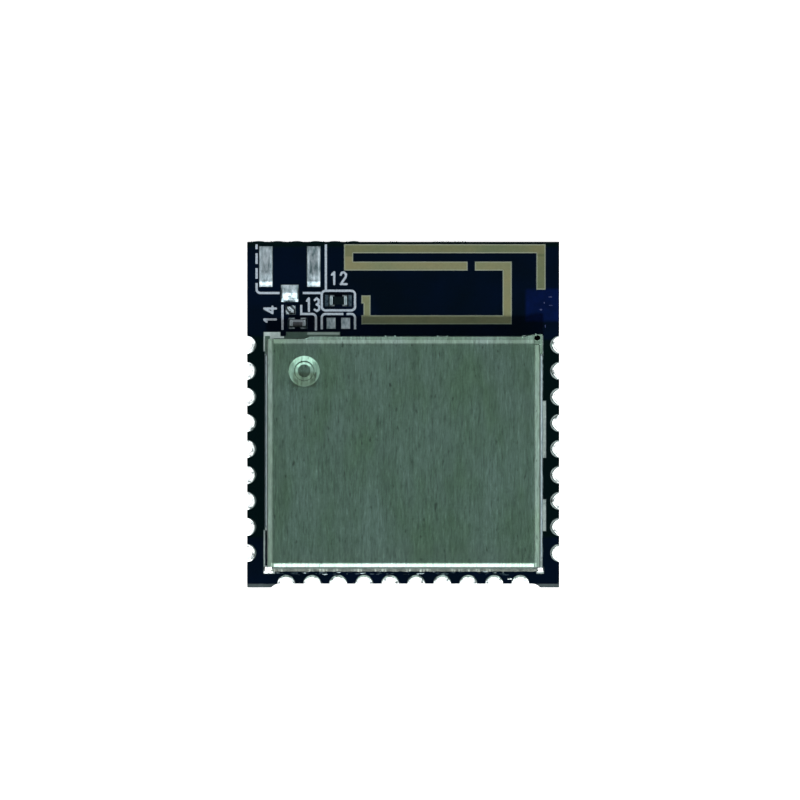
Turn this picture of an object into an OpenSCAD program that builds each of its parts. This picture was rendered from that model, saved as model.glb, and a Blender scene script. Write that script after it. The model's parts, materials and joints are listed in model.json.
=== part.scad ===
// Surface-mount radio module: a small circuit board with half-hole terminals on
// three edges, a bare folded trace antenna at the back, the lands of a micro
// coaxial socket, and a folded sheet shield over the radio circuit.
// Millimetres. Origin at the centre of the underside, +Z up, antenna towards +Y.

/* [Board] */
// Width of the board, across the two side rows of terminals
board_w = 18; // [17.5:0.25:22]
// Length of the board, from the terminal end to the antenna end
board_l = 20; // [19.5:0.25:26]
// Thickness of the glass laminate
laminate_t = 0.8; // [0.6:0.1:1.2]
// Thickness of every land, copper with its tin
land_t = 0.05; // [0.04:0.01:0.08]
// Thickness of the solder mask
mask_t = 0.03; // [0.02:0.005:0.035]
// Gap between the edge of a land and the mask round it
mask_gap = 0.03; // [0.02:0.005:0.05]
// Width of the plain tab at the front left corner, at its front
corner_tab_w = 1.4; // [1:0.1:1.6]
// How much narrower the tab at the front right corner is
tab_step = 0.3; // [0:0.05:0.4]
// How far the front edge is milled back between the tabs
front_setback = 0.22; // [0.1:0.02:0.3]
// Radius of the cutter that milled the front edge back
cutter_r = 0.6; // [0.5:0.05:0.7]
// Height of the break-off burrs left along the back edge
burr_h = 0.05; // [0.03:0.01:0.08]
// Radius of a burr's rounded tip
burr_r = 1.2; // [0.8:0.1:2]
// Distance from burr to burr
burr_pitch = 1.1; // [0.9:0.05:1.3]
// Distance from the left edge to the first burr's middle
burr_start = 0.66; // [0.5:0.02:0.8]
// Burrs left along the back edge
burr_count = 6; // [1:1:8]

/* [Terminals] */
// Distance from terminal to terminal
pitch = 1.5; // [1.27:0.01:1.6]
// Terminals along each side
side_count = 9; // [5:1:9]
// Terminals along the front
front_count = 10; // [4:2:10]
// Distance from the front edge to the nearest side terminal
side_row_front = 2; // [1.8:0.1:2.4]
// Radius of the plated half-hole
half_hole_r = 0.3; // [0.25:0.05:0.4]
// Thickness of the plating on the half-hole's wall
plating_t = 0.05; // [0.03:0.01:0.08]
// Width of the land round the half-hole on the top face
ring_w = 0.2; // [0.15:0.01:0.22]
// Length of a terminal's land on the underside
under_land_l = 1.2; // [0.8:0.1:1.5]
// Width of a terminal's land on the underside
under_land_w = 1; // [0.8:0.05:1.05]

/* [Antenna] */
// Width of the antenna trace
trace_w = 0.5; // [0.3:0.05:0.6]
// Gap between the bars of the outer arm
arm_gap = 0.5; // [0.3:0.05:0.6]
// Distance from the back edge to the antenna
antenna_back = 0.2; // [0.15:0.05:0.4]
// Distance from the right edge to the antenna
antenna_right = 0.8; // [0.6:0.1:1.2]
// Distance from the socket's right printed line to the antenna
arm_clear = 1.06; // [0.9:0.02:1.4]
// Length of the outer arm's end leg
outer_leg_l = 2.6; // [1.5:0.1:2.8]
// How far the inner arm and its feed sit left of the middle of their room
feed_shift = 0.08; // [0:0.02:0.2]
// Gap between the two arms, end to end
arm_break = 0.45; // [0.3:0.05:0.8]
// Length of the inner arm's first bar
inner_bar_l = 2.1; // [1.5:0.1:2.4]
// Depth of the inner arm, from its first bar to its last
inner_depth = 3.6; // [3:0.1:3.7]
// Length of the inner arm's last bar
inner_last_l = 8.65; // [7:0.05:8.8]
// Height of the feed leg at the inner arm's end
feed_leg_l = 1.65; // [1:0.05:2]
// Height of the full-width head of the feed leg
feed_head_l = 0.45; // [0.3:0.05:0.6]
// How much narrower the feed leg is below its head
feed_neck = 0.12; // [0.05:0.01:0.2]

/* [Coaxial socket lands] */
// Distance from the left edge to the middle of the socket
socket_left = 2.46; // [2.4:0.02:2.6]
// Distance from the back edge to the middle of the ground lands
socket_back = 1.48; // [1.4:0.02:1.6]
// Distance between the middles of the two ground lands
socket_land_pitch = 2.76; // [2.6:0.02:2.8]
// Width of a ground land
socket_land_w = 0.74; // [0.6:0.02:0.8]
// Length of a ground land
socket_land_l = 2.32; // [2:0.02:2.4]
// Side of the square signal land
signal_land_w = 0.98; // [0.8:0.02:1]
// Distance from the middle of the ground lands to the middle of the signal land
signal_offset = 1.545; // [1.5:0.005:1.6]

/* [Matching parts] */
// Distance from the antenna's feed leg to the printed frame beside it
feed_clear = 0.38; // [0.3:0.01:0.5]
// Gap from the socket's signal land to the single test land
test_clear = 0.24; // [0.16:0.01:0.3]
// Distance from the upper footprint to the lower one
print_step = 1.31; // [1.28:0.01:1.34]
// Distance from the left-hand part's end to its printed line
part_clear = 0.555; // [0.5:0.005:0.6]
// Gap from the lower footprints to the shield's back land
match_clear = 0.2; // [0.15:0.01:0.3]
// Length of a matching part's land
match_land_l = 0.5; // [0.4:0.02:0.52]
// Width of a matching part's land
match_land_w = 0.62; // [0.5:0.02:0.66]
// Gap between the two lands of the upper footprint
match_land_gap = 0.49; // [0.4:0.01:0.55]
// Gap between the two lands of the empty footprint
bare_land_gap = 0.34; // [0.3:0.01:0.45]
// Length of the lands under the left-hand part
tuck_land_l = 0.32; // [0.28:0.01:0.36]
// Width of the single test land
test_land_w = 0.53; // [0.4:0.01:0.56]
// Length of the single test land
test_land_l = 0.47; // [0.4:0.01:0.5]
// Distance from the left-hand part to the single land, across
test_land_x = -0.4; // [-0.5:0.01:-0.34]
// Distance from the left-hand part to the single land, along
test_land_y = 0.76; // [0.74:0.01:0.8]

/* [Printed outlines] */
// Width of a printed line
ink_w = 0.13; // [0.1:0.01:0.15]
// Thickness of the print
ink_t = 0.02; // [0.01:0.005:0.03]
// Radius of the printed corners, on the middle of the line
ink_r = 0.22; // [0.18:0.01:0.26]
// Width of the printed frame round a right-hand footprint
print_frame_w = 1.92; // [1.88:0.01:2]
// Length of the printed frame round the upper footprint
print_frame_l = 1.13; // [1.08:0.01:1.16]
// Distance from the left ground land to the socket's left printed line
left_line_clear = 0.165; // [0.13:0.005:0.2]
// Distance from the right ground land to the socket's right printed line
right_line_clear = 0.33; // [0.2:0.01:0.4]
// Distance from the middle of the socket to its front printed line
socket_frame_front = 1.525; // [1.48:0.005:1.54]
// Distance from the back edge to the ends of the socket's printed lines
print_back = 0.2; // [0.15:0.01:0.3]
// Distance from the socket's front printed line to the first break in the left one
dash_start = 0.7; // [0.6:0.01:0.8]
// Length of each break in the socket's left printed line
dash_break = 0.24; // [0.2:0.01:0.3]
// Distance from break to break
dash_pitch = 0.855; // [0.75:0.005:0.9]
// Breaks in the socket's left printed line
dash_count = 3; // [1:1:3]
// Distance from the signal land to the start of the front line on its right
line_start = 0.325; // [0.25:0.005:0.4]
// Distance from the upper frame's front line to the lines in front of it
frame_step = 0.21; // [0.18:0.01:0.24]
// Distance from the right-hand frames to the line on their left
frame_gap = 0.335; // [0.3:0.005:0.4]
// Width of the break in the empty footprint's printed line
frame_break = 0.18; // [0.12:0.01:0.24]
// Distance from the footprint's middle to that break
frame_break_x = 0.38; // [0.2:0.01:0.5]
// Distance from the single test land's opening to the line on its left
test_line_left = 0.18; // [0.15:0.01:0.25]
// Distance from the single test land's opening to the line on its right
test_line_right = 0.31; // [0.2:0.01:0.35]

/* [Shield] */
// Distance from a side edge of the board to the shield's wall
can_side = 1.13; // [1.12:0.01:1.25]
// Gap from the front terminals to the shield's front land
land_clear = 0.09; // [0.08:0.01:0.2]
// How far the shield sits to the right of the board's middle
can_shift = 0.03; // [0:0.01:0.05]
// Height of the shield above its lands
can_h = 2.1; // [2:0.1:2.8]
// Thickness of the shield's sheet
sheet_t = 0.2; // [0.15:0.01:0.22]
// Inside radius of the shield's bends
bend_in_r = 0.1; // [0.05:0.01:0.2]
// Slit between two adjoining walls
wall_slit = 0.06; // [0.04:0.01:0.1]
// Step back of a side wall's end from the outer face of the next wall
wall_end = 0.04; // [0.02:0.01:0.08]
// Radius of the pressed dimple at the top face
dimple_r = 0.87; // [0.8:0.01:1]
// Radius of the step inside the dimple
dimple_step_r = 0.58; // [0.54:0.01:0.62]
// Width of that step
dimple_step_w = 0.05; // [0.03:0.01:0.08]
// Radius of the dimple's floor
dimple_floor_r = 0.44; // [0.38:0.01:0.48]
// Depth of the dimple down to its step
dimple_step_depth = 0.14; // [0.1:0.01:0.16]
// Whole depth of the dimple
dimple_depth = 0.24; // [0.2:0.01:0.3]
// How much wider the dimple's underside is at its step
dimple_under = 0.04; // [0.02:0.01:0.06]
// Distance from the left wall to the dimple's middle
dimple_left = 2.14; // [1.6:0.02:3]
// Distance from the back wall to the dimple's middle
dimple_back = 1.89; // [1.6:0.01:2.4]

/* [Shield lands and solder] */
// Width of the land inside the shield's walls
land_in = 0.2; // [0.15:0.01:0.25]
// Width of the solder along the foot of the walls
solder_w = 0.12; // [0.08:0.01:0.14]
// Height of the solder up the walls
solder_h = 0.25; // [0.15:0.01:0.4]
// Where the solder's hollow face bends, as a share of its width
hollow_out = 0.45; // [0.3:0.05:0.9]
// Where it bends, as a share of its height
hollow_up = 0.35; // [0.1:0.05:0.6]
// Width of the bare land outside the left and right walls
side_land = 0.2; // [0.16:0.01:0.22]
// Width of the bare land outside the front and back walls
end_land = 0.36; // [0.3:0.01:0.37]
// Width of the wider lands outside the right wall
tab_land = 0.33; // [0.26:0.01:0.35]
// Length of the back left land, from the corner along the back wall
corner_land_l = 0.95; // [0.8:0.01:1]
// Length of the back left land, from the corner along the left wall
corner_leg_l = 1.1; // [0.9:0.01:1.15]
// Gap between the back left land and the next one
corner_land_gap = 0.35; // [0.2:0.01:0.4]
// Length of the bare land along the back wall
back_land_l = 3.08; // [2.6:0.02:3.2]
// Length of the bare land up the left wall from the front corner
front_leg_l = 2.5; // [2:0.05:2.6]
// Length of the front left corner land along the front wall
front_left_l = 0.62; // [0.5:0.01:0.7]
// Length of the front right corner land along the front wall
front_right_l = 0.4; // [0.3:0.01:0.5]
// Length of the rear wide land on the right
rear_tab_l = 3.27; // [3:0.01:3.4]
// Length of the front wide land on the right
front_tab_l = 1.82; // [1.6:0.01:2]
// Distance from the back wall to the rear wide land on the right
rear_tab_back = 3.61; // [3.4:0.01:3.8]
// Distance from the front wall to the front wide land on the right
front_tab_front = 2.1; // [1.9:0.01:2.2]
// Height of the solder heaped on a front corner land
corner_solder_h = 0.16; // [0.1:0.01:0.2]
// Distance from the left wall to the start of the solder along the back wall
back_solder_left = 2.2; // [1.4:0.05:2.6]
// Width of the bead of solder round the open corner
bead_w = 0.16; // [0.12:0.01:0.2]
// Length of the bead along each wall, from the open corner
bead_l = 1; // [0.5:0.05:1.2]
// Height of the bead
bead_h = 0.5; // [0.4:0.05:0.8]

/* [Radio chip] */
// Side of the square radio chip
radio_w = 5; // [4.8:0.1:5.2]
// Height of the radio chip
radio_h = 0.85; // [0.75:0.05:1]
// Leads along each side of the radio chip
radio_side_count = 8; // [6:1:8]
// Distance from lead to lead of the radio chip
radio_pitch = 0.5; // [0.4:0.01:0.52]
// Width of a lead of the radio chip
radio_lead_w = 0.24; // [0.18:0.01:0.26]
// Length of a lead of the radio chip
radio_lead_l = 0.4; // [0.3:0.01:0.45]
// Thickness of the radio chip's leads
radio_lead_t = 0.2; // [0.15:0.01:0.25]
// Side of the radio chip's exposed pad
radio_pad_w = 3.3; // [2.8:0.1:3.5]
// Gap from the shield's inner land to the radio chip on its left
radio_clear = 1; // [0.8:0.05:1.2]
// Radius of the mark at the first lead
chip_mark_r = 0.25; // [0.15:0.05:0.3]
// Depth of the mark at the first lead
chip_mark_depth = 0.05; // [0.03:0.01:0.1]

/* [Memory chip] */
// Width of the memory chip's body, across its leads
memory_w = 3.9; // [3.7:0.1:4]
// Length of the memory chip's body
memory_l = 4.9; // [4.7:0.1:5]
// Height of the memory chip's body
memory_h = 1.4; // [1.2:0.05:1.5]
// Gap under the memory chip's body
memory_gap = 0.1; // [0.05:0.01:0.15]
// How far the memory chip's sides slope in to its top and bottom
memory_slope = 0.15; // [0.1:0.01:0.2]
// Distance across the memory chip's leads, toe to toe
memory_span = 6; // [5.8:0.1:6.2]
// Leads along each side of the memory chip
memory_side_count = 4; // [3:1:4]
// Distance from lead to lead of the memory chip
memory_pitch = 1.27; // [1:0.01:1.3]
// Width of a lead of the memory chip
memory_lead_w = 0.41; // [0.3:0.01:0.5]
// Thickness of a lead of the memory chip
memory_lead_t = 0.15; // [0.1:0.01:0.2]
// Length of the foot of a lead of the memory chip
memory_foot_l = 0.6; // [0.5:0.01:0.65]

/* [Crystal] */
// Width of the crystal's package
crystal_w = 2.5; // [2.4:0.1:2.6]
// Length of the crystal's package
crystal_l = 2; // [1.8:0.1:2.2]
// Height of the crystal's ceramic base
crystal_base_h = 0.4; // [0.3:0.05:0.5]
// Height of the crystal's metal lid
crystal_lid_h = 0.15; // [0.1:0.01:0.2]
// Edge of the base left bare round the lid
crystal_edge = 0.2; // [0.1:0.01:0.3]
// Width of a crystal land
crystal_land_w = 0.9; // [0.7:0.05:1]
// Length of a crystal land
crystal_land_l = 0.7; // [0.6:0.05:0.8]
// Gap from the radio chip to the crystal in front of it
crystal_gap = 1; // [0.8:0.05:1.4]

/* [Power inductor] */
// Length of the power inductor
inductor_l = 2.5; // [2.3:0.1:2.6]
// Width of the power inductor
inductor_w = 2; // [1.8:0.1:2.1]
// Height of the power inductor
inductor_h = 1.2; // [1:0.1:1.3]
// Length of the power inductor's end plating
inductor_end_l = 0.6; // [0.4:0.05:0.7]
// Gap from the shield's inner land to the power inductor on its right
inductor_side = 0.65; // [0.5:0.05:0.9]
// Gap from the memory chip to the power inductor behind it
inductor_clear = 0.6; // [0.4:0.05:0.8]

/* [Chip capacitors and resistors] */
// Length of a small chip part
chip_l = 1; // [0.94:0.02:1.02]
// Width of a small chip part
chip_w = 0.5; // [0.46:0.02:0.54]
// Height of a small chip capacitor
capacitor_h = 0.5; // [0.4:0.05:0.55]
// Height of a small chip resistor
resistor_h = 0.35; // [0.3:0.05:0.4]
// Length of the plating on a small chip part's ends
chip_end_l = 0.27; // [0.2:0.01:0.3]
// Thickness of the plating on a chip part's ends
chip_end_t = 0.02; // [0.01:0.005:0.03]
// Length of the supply capacitor
supply_l = 1.6; // [1.5:0.05:1.7]
// Width of the supply capacitor
supply_w = 0.8; // [0.7:0.05:0.85]
// Height of the supply capacitor
supply_h = 0.8; // [0.7:0.05:0.9]
// Length of the plating on the supply capacitor's ends
supply_end_l = 0.4; // [0.3:0.05:0.45]
// Distance from the power inductor's middle to the supply capacitor's
supply_step = 2.9; // [2.8:0.05:3]
// Distance from part to part in the rows round the radio chip
chip_row_pitch = 1.55; // [1.5:0.01:1.6]
// Parts in the row behind the radio chip
back_row_count = 4; // [2:1:4]
// Parts in the column beside the radio chip
side_column_count = 3; // [2:1:3]
// Gap from the shield's inner land to the row behind the radio chip
row_clear = 0.4; // [0.3:0.05:0.5]
// Gap from the radio chip or the crystal to the parts beside it
chip_clear = 0.35; // [0.3:0.01:0.4]
// Resistors in the row behind the power inductor
resistor_count = 3; // [1:1:3]
// Distance from resistor to resistor
resistor_pitch = 1.6; // [1.5:0.05:1.7]
// Gap from the power inductor to the resistors
resistor_clear = 0.6; // [0.4:0.05:0.8]
// Length of the lands under a chip part that show past its ends
toe_land = 0.15; // [0.1:0.01:0.18]
// Gap from the shield's inner land to the lands of the memory chip
inner_clear = 0.5; // [0.3:0.05:0.6]

/* [Underside] */
// Side of the ground land on the underside, below the radio chip
ground_land_w = 5; // [4:0.1:6]

/* [Hidden] */

// Small overlap that makes a cut run clean past a face
over = 0.1;
$fn = 20;

// Edges of the board
left_x = -board_w / 2;
right_x = board_w / 2;
front_y = -board_l / 2;
back_y = board_l / 2;
mill_y = front_y + front_setback;
cutter_y = mill_y - cutter_r;
run_out = sqrt(pow(cutter_r, 2) - pow(cutter_r - front_setback, 2));
break_y = back_y - burr_h;

// Heights, from the underside of the lands up
top_z = land_t + laminate_t;
land_z = top_z + land_t;
mask_z = top_z + mask_t;

// Terminals
drill_r = half_hole_r + plating_t;
ring_r = half_hole_r + ring_w;
function side_y(i) = front_y + side_row_front + i * pitch;
function front_x(i) = (i - (front_count - 1) / 2) * pitch;
left_places = [for (i = [0:side_count - 1]) [left_x, side_y(i), 0]];
right_places = [for (i = [0:side_count - 1]) [right_x, side_y(i), 180]];
front_places = [for (i = [0:front_count - 1]) [front_x(i), mill_y, 90]];
all_places = concat(left_places, right_places, front_places);

// Antenna
antenna_x = right_x - antenna_right;
antenna_y = back_y - antenna_back;
second_y = antenna_y - trace_w - arm_gap;
inner_front_y = second_y - inner_depth;

// Coaxial socket, its printed lines and the antenna's end beside them
socket_x = left_x + socket_left;
socket_y = back_y - socket_back;
signal_y = socket_y - signal_offset;
socket_half_w = (socket_land_pitch + socket_land_w) / 2;
left_line_x = socket_x - socket_half_w - left_line_clear;
right_line_x = socket_x + socket_half_w + right_line_clear;
outer_left_x = right_line_x + arm_clear;

// The inner arm, its feed and the frame beside it share the room between the
// signal land and the outer arm's end leg
signal_right_x = socket_x + signal_land_w / 2;
feed_room_x = (signal_right_x + antenna_x - trace_w) / 2;
feed_group_w = inner_last_l + feed_clear + print_frame_w + ink_w / 2;
inner_right_x = feed_room_x + feed_group_w / 2 - feed_shift;
inner_left_x = inner_right_x - inner_bar_l;
feed_x = inner_right_x - inner_last_l;

// Matching parts, outside the shield
right_print_x = feed_x - feed_clear - print_frame_w / 2;
part_line_x = right_print_x - print_frame_w / 2 - frame_gap;
left_print_x = part_line_x - part_clear - chip_l / 2;
lower_print_y = signal_y - signal_land_w / 2 - test_clear - test_land_l / 2 - test_land_y;
upper_print_y = lower_print_y + print_step;
frame_step_y = upper_print_y - print_frame_l / 2 - frame_step;
match_spread = match_land_gap + match_land_l;
bare_spread = bare_land_gap + match_land_l;
tuck_spread = chip_l - tuck_land_l;

// Shield
can_w = board_w - 2 * can_side;
can_left = can_shift - can_w / 2;
can_right = can_shift + can_w / 2;
can_front_y = mill_y + ring_r + land_clear + end_land;
can_back_y = lower_print_y - match_land_w / 2 - match_clear - end_land;
can_l = can_back_y - can_front_y;
bend_r = sheet_t + bend_in_r;
dimple_x = can_left + dimple_left;
dimple_y = can_back_y - dimple_back;

// Inside edges of the shield's land
foot_w = sheet_t + land_in;
inner_left = can_left + foot_w;
inner_right = can_right - foot_w;
inner_front = can_front_y + foot_w;
inner_back = can_back_y - foot_w;

// Parts under the shield: the radio chip's group keeps to the back left corner,
// the memory chip's group to the front right one
back_row_y = inner_back - row_clear - chip_w / 2;
radio_cx = inner_left + radio_clear + radio_w / 2;
radio_cy = back_row_y - chip_w / 2 - chip_clear - radio_w / 2;
side_column_x = radio_cx + radio_w / 2 + chip_clear + chip_w / 2;
crystal_cx = radio_cx;
crystal_cy = radio_cy - radio_w / 2 - crystal_gap - crystal_l / 2;
crystal_step = crystal_w / 2 + chip_clear + chip_w / 2;
memory_cx = inner_right - inner_clear - toe_land - memory_span / 2;
memory_cy = inner_front + inner_clear + memory_l / 2;
inductor_cx = inner_right - inductor_side - inductor_l / 2;
inductor_cy = memory_cy + memory_l / 2 + inductor_clear + inductor_w / 2;
resistor_y = inductor_cy + inductor_w / 2 + resistor_clear + chip_w / 2;
chip_gap = chip_l - 2 * chip_end_l;
chip_spread = (chip_l + 2 * toe_land + chip_gap) / 2;
function back_place(i) = [radio_cx + (i - (back_row_count + 1) / 2) * chip_row_pitch, back_row_y, 0];
function side_place(i) = [side_column_x, radio_cy + (i - 2) * chip_row_pitch, 90];
function crystal_place(i) = [crystal_cx + (2 * i - 3) * crystal_step, crystal_cy, 90];
function resistor_place(i) = [memory_cx + (i - 2) * resistor_pitch, resistor_y, 0];
chip_places = concat(
    [for (i = [1:back_row_count]) back_place(i)],
    [for (i = [1:side_column_count]) side_place(i)],
    [for (i = [1:2]) crystal_place(i)],
    [for (i = [1:resistor_count]) resistor_place(i)]
);

laminate_colour = [0.28, 0.31, 0.27];
mask_colour = [0.016, 0.05, 0.11];
tin_colour = [0.75, 0.78, 0.79];
gold_colour = [0.48, 0.5, 0.36];
ink_colour = [0.6, 0.67, 0.71];
sheet_colour = [0.36, 0.43, 0.39];
epoxy_colour = [0.08, 0.08, 0.09];
ceramic_colour = [0.45, 0.4, 0.42];
ferrite_colour = [0.2, 0.19, 0.19];

// ---- Helpers -------------------------------------------------------------

module put(place) {
    translate([place[0], place[1]]) rotate(place[2]) children();
}

// Flat rectangle from one corner to the opposite one, grown on every side
module bar(x1, y1, x2, y2, grow = 0) {
    translate([min(x1, x2) - grow, min(y1, y2) - grow])
        square([abs(x2 - x1) + 2 * grow, abs(y2 - y1) + 2 * grow]);
}

// Flat rectangle about its middle, grown on every side
module pad(w, l, grow = 0) {
    square([w + 2 * grow, l + 2 * grow], center = true);
}

// Flat rectangle with round corners
module round_pad(w, l, r) {
    square([w - 2 * r, l], center = true);
    square([w, l - 2 * r], center = true);
    for (x = [-1, 1], y = [-1, 1]) translate([x * (w / 2 - r), y * (l / 2 - r)]) circle(r = r);
}

module on_top(t) {
    translate([0, 0, top_z]) linear_extrude(t) children();
}

// ---- Board ---------------------------------------------------------------

module board_outline() {
    difference() {
        union() {
            bar(left_x, front_y, right_x, break_y);
            burrs();
        }
        milled_edge();
        for (place = all_places) put(place) circle(r = drill_r);
    }
}

// Sweep of the cutter along the front edge, from tab to tab
module milled_edge() {
    x1 = left_x + corner_tab_w + run_out;
    x2 = right_x - corner_tab_w + tab_step - run_out;
    for (x = [x1, x2]) translate([x, cutter_y]) circle(r = cutter_r);
    bar(x1, cutter_y - cutter_r, x2, mill_y);
}

// Stubs of the glass cloth where the board was broken from its panel
module burrs() {
    intersection() {
        for (i = [0:burr_count - 1])
            translate([left_x + burr_start + i * burr_pitch, back_y - burr_r]) circle(r = burr_r);
        bar(left_x, break_y - over, right_x, back_y);
    }
}

module board_laminate() {
    color(laminate_colour)
        translate([0, 0, land_t]) linear_extrude(laminate_t) board_outline();
}

module solder_mask_top() {
    color(mask_colour) on_top(mask_t) difference() {
        bar(left_x, mill_y, right_x, break_y);
        for (place = all_places) put(place) circle(r = ring_r + mask_gap);
        outer_arm(mask_gap);
        inner_arm(mask_gap);
        socket_ground(-1, mask_gap);
        socket_ground(1, mask_gap);
        socket_signal(mask_gap);
        matching_footprints(mask_gap);
        shield_footprint(mask_gap);
        component_footprints(mask_gap);
    }
}

module solder_mask_bottom() {
    color(mask_colour) translate([0, 0, land_t - mask_t]) linear_extrude(mask_t) difference() {
        bar(left_x, mill_y, right_x, break_y);
        for (place = all_places) put(place) under_land(mask_gap);
        translate([radio_cx, radio_cy]) pad(ground_land_w, ground_land_w, mask_gap);
    }
}

module ground_land() {
    color(tin_colour) linear_extrude(land_t)
        translate([radio_cx, radio_cy]) pad(ground_land_w, ground_land_w);
}

// ---- Terminals -----------------------------------------------------------

// Half ring on the inner side of the board's edge
module half_ring(r) {
    intersection() {
        difference() {
            circle(r = r);
            circle(r = half_hole_r);
        }
        bar(0, -r - over, r + over, r + over);
    }
}

// Land of one terminal on the underside
module under_land(grow = 0) {
    bar(-grow, -under_land_w / 2, under_land_l, under_land_w / 2, grow);
    circle(r = drill_r + grow);
}

module terminal() {
    linear_extrude(land_t) difference() {
        bar(0, -under_land_w / 2, under_land_l, under_land_w / 2);
        circle(r = half_hole_r);
    }
    linear_extrude(land_z) half_ring(drill_r);
    translate([0, 0, top_z]) linear_extrude(land_t) half_ring(ring_r);
}

module terminals(places) {
    color(tin_colour) for (place = places) put(place) terminal();
}

// ---- Antenna -------------------------------------------------------------

module outer_arm(grow = 0) {
    bar(outer_left_x, antenna_y - trace_w, antenna_x, antenna_y, grow);
    bar(antenna_x - trace_w, antenna_y - outer_leg_l, antenna_x, antenna_y, grow);
    bar(outer_left_x, second_y - trace_w, outer_left_x + trace_w, antenna_y, grow);
    bar(outer_left_x, second_y - trace_w, inner_left_x - arm_break, second_y, grow);
}

module inner_arm(grow = 0) {
    bar(inner_left_x, second_y - trace_w, inner_right_x, second_y, grow);
    bar(inner_right_x - trace_w, inner_front_y, inner_right_x, second_y, grow);
    bar(feed_x, inner_front_y, inner_right_x, inner_front_y + trace_w, grow);
    bar(feed_x + feed_neck, inner_front_y, feed_x + trace_w, inner_front_y + feed_leg_l, grow);
    bar(feed_x, inner_front_y + feed_leg_l - feed_head_l, feed_x + trace_w,
        inner_front_y + feed_leg_l, grow);
}

// ---- Coaxial socket lands ------------------------------------------------

module socket_ground(side, grow = 0) {
    translate([socket_x + side * socket_land_pitch / 2, socket_y]) pad(socket_land_w, socket_land_l, grow);
}

module socket_signal(grow = 0) {
    translate([socket_x, signal_y]) pad(signal_land_w, signal_land_w, grow);
}

// ---- Matching parts ------------------------------------------------------

module land_pair(spread, l, w, grow = 0) {
    for (side = [-1, 1]) translate([side * spread / 2, 0]) pad(l, w, grow);
}

module matching_footprints(grow = 0) {
    translate([right_print_x, upper_print_y]) land_pair(match_spread, match_land_l, match_land_w, grow);
    translate([right_print_x, lower_print_y]) land_pair(bare_spread, match_land_l, match_land_w, grow);
    translate([left_print_x, lower_print_y]) {
        land_pair(tuck_spread, tuck_land_l, match_land_w, grow);
        translate([test_land_x, test_land_y]) pad(test_land_w, test_land_l, grow);
    }
}

// Ceramic block of a chip part, inside its end plating
module chip_body(l, w, h, end_t) {
    translate([-l / 2 + end_t, -w / 2 + end_t, end_t]) cube([l - 2 * end_t, w - 2 * end_t, h - 2 * end_t]);
}

// The two plated ends of a chip part
module chip_ends(l, w, h, end_l, end_t) {
    difference() {
        for (side = [-1, 1]) translate([side * (l - end_l) / 2, 0, h / 2]) cube([end_l, w, h], center = true);
        chip_body(l, w, h, end_t);
    }
}

// A whole chip part, ends and block together
module chip_part(place, l, w, h, end_l) {
    translate([0, 0, land_z]) put(place) {
        chip_body(l, w, h, chip_end_t);
        chip_ends(l, w, h, end_l, chip_end_t);
    }
}

module matching_resistor_body() {
    color(epoxy_colour) translate([right_print_x, upper_print_y, land_z])
        chip_body(chip_l, chip_w, resistor_h, chip_end_t);
}

module matching_resistor_ends() {
    color(tin_colour) translate([right_print_x, upper_print_y, land_z])
        chip_ends(chip_l, chip_w, resistor_h, chip_end_l, chip_end_t);
}

module matching_capacitor_body() {
    color(ceramic_colour) translate([left_print_x, lower_print_y, land_z])
        chip_body(chip_l, chip_w, capacitor_h, chip_end_t);
}

module matching_capacitor_ends() {
    color(tin_colour) translate([left_print_x, lower_print_y, land_z])
        chip_ends(chip_l, chip_w, capacitor_h, chip_end_l, chip_end_t);
}

// ---- Printed outlines ----------------------------------------------------

// Printed line through a list of points, with square joints
module ink_line(points) {
    for (i = [0:len(points) - 2]) {
        a = points[i];
        b = points[i + 1];
        bar(a[0], a[1], b[0], b[1], ink_w / 2);
    }
}

// Quarter of a ring of ink, turned about the middle of the corner
module ink_corner(x, y, turn) {
    translate([x, y]) rotate(turn) intersection() {
        difference() {
            circle(r = ink_r + ink_w / 2);
            circle(r = ink_r - ink_w / 2);
        }
        bar(0, 0, ink_r + ink_w, ink_r + ink_w);
    }
}

// Closed printed frame with round corners
module ink_frame(w, l) {
    difference() {
        round_pad(w + ink_w, l + ink_w, ink_r + ink_w / 2);
        round_pad(w - ink_w, l - ink_w, ink_r - ink_w / 2);
    }
}

module socket_print() {
    signal_left = socket_x - signal_land_w / 2;
    y1 = socket_y - socket_frame_front;
    y2 = back_y - print_back - ink_w / 2;
    difference() {
        ink_line([[left_line_x, y1 + ink_r + ink_w / 2], [left_line_x, y2]]);
        for (i = [0:dash_count - 1])
            translate([left_line_x, y1 + dash_start + i * dash_pitch]) pad(2 * ink_w, dash_break);
    }
    ink_corner(left_line_x + ink_r, y1 + ink_r, 180);
    ink_line([[left_line_x + ink_r + ink_w / 2, y1], [signal_left - ink_w - mask_gap, y1]]);
    ink_line([[right_line_x, upper_print_y + print_frame_l / 2], [right_line_x, y2]]);
    ink_line([[right_print_x - print_frame_w / 2 - ink_w, y1], [signal_right_x + line_start, y1]]);
}

module right_prints() {
    translate([right_print_x, upper_print_y]) ink_frame(print_frame_w, print_frame_l);
    lower_front = can_back_y + end_land + mask_gap + ink_w;
    difference() {
        translate([right_print_x, frame_step_y - print_frame_l / 2])
            ink_frame(print_frame_w, print_frame_l);
        bar(right_print_x - print_frame_w, lower_front, right_print_x + print_frame_w,
            lower_front - 2 * print_frame_l);
        translate([right_print_x + frame_break_x, frame_step_y]) pad(frame_break, 2 * ink_w);
    }
}

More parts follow.
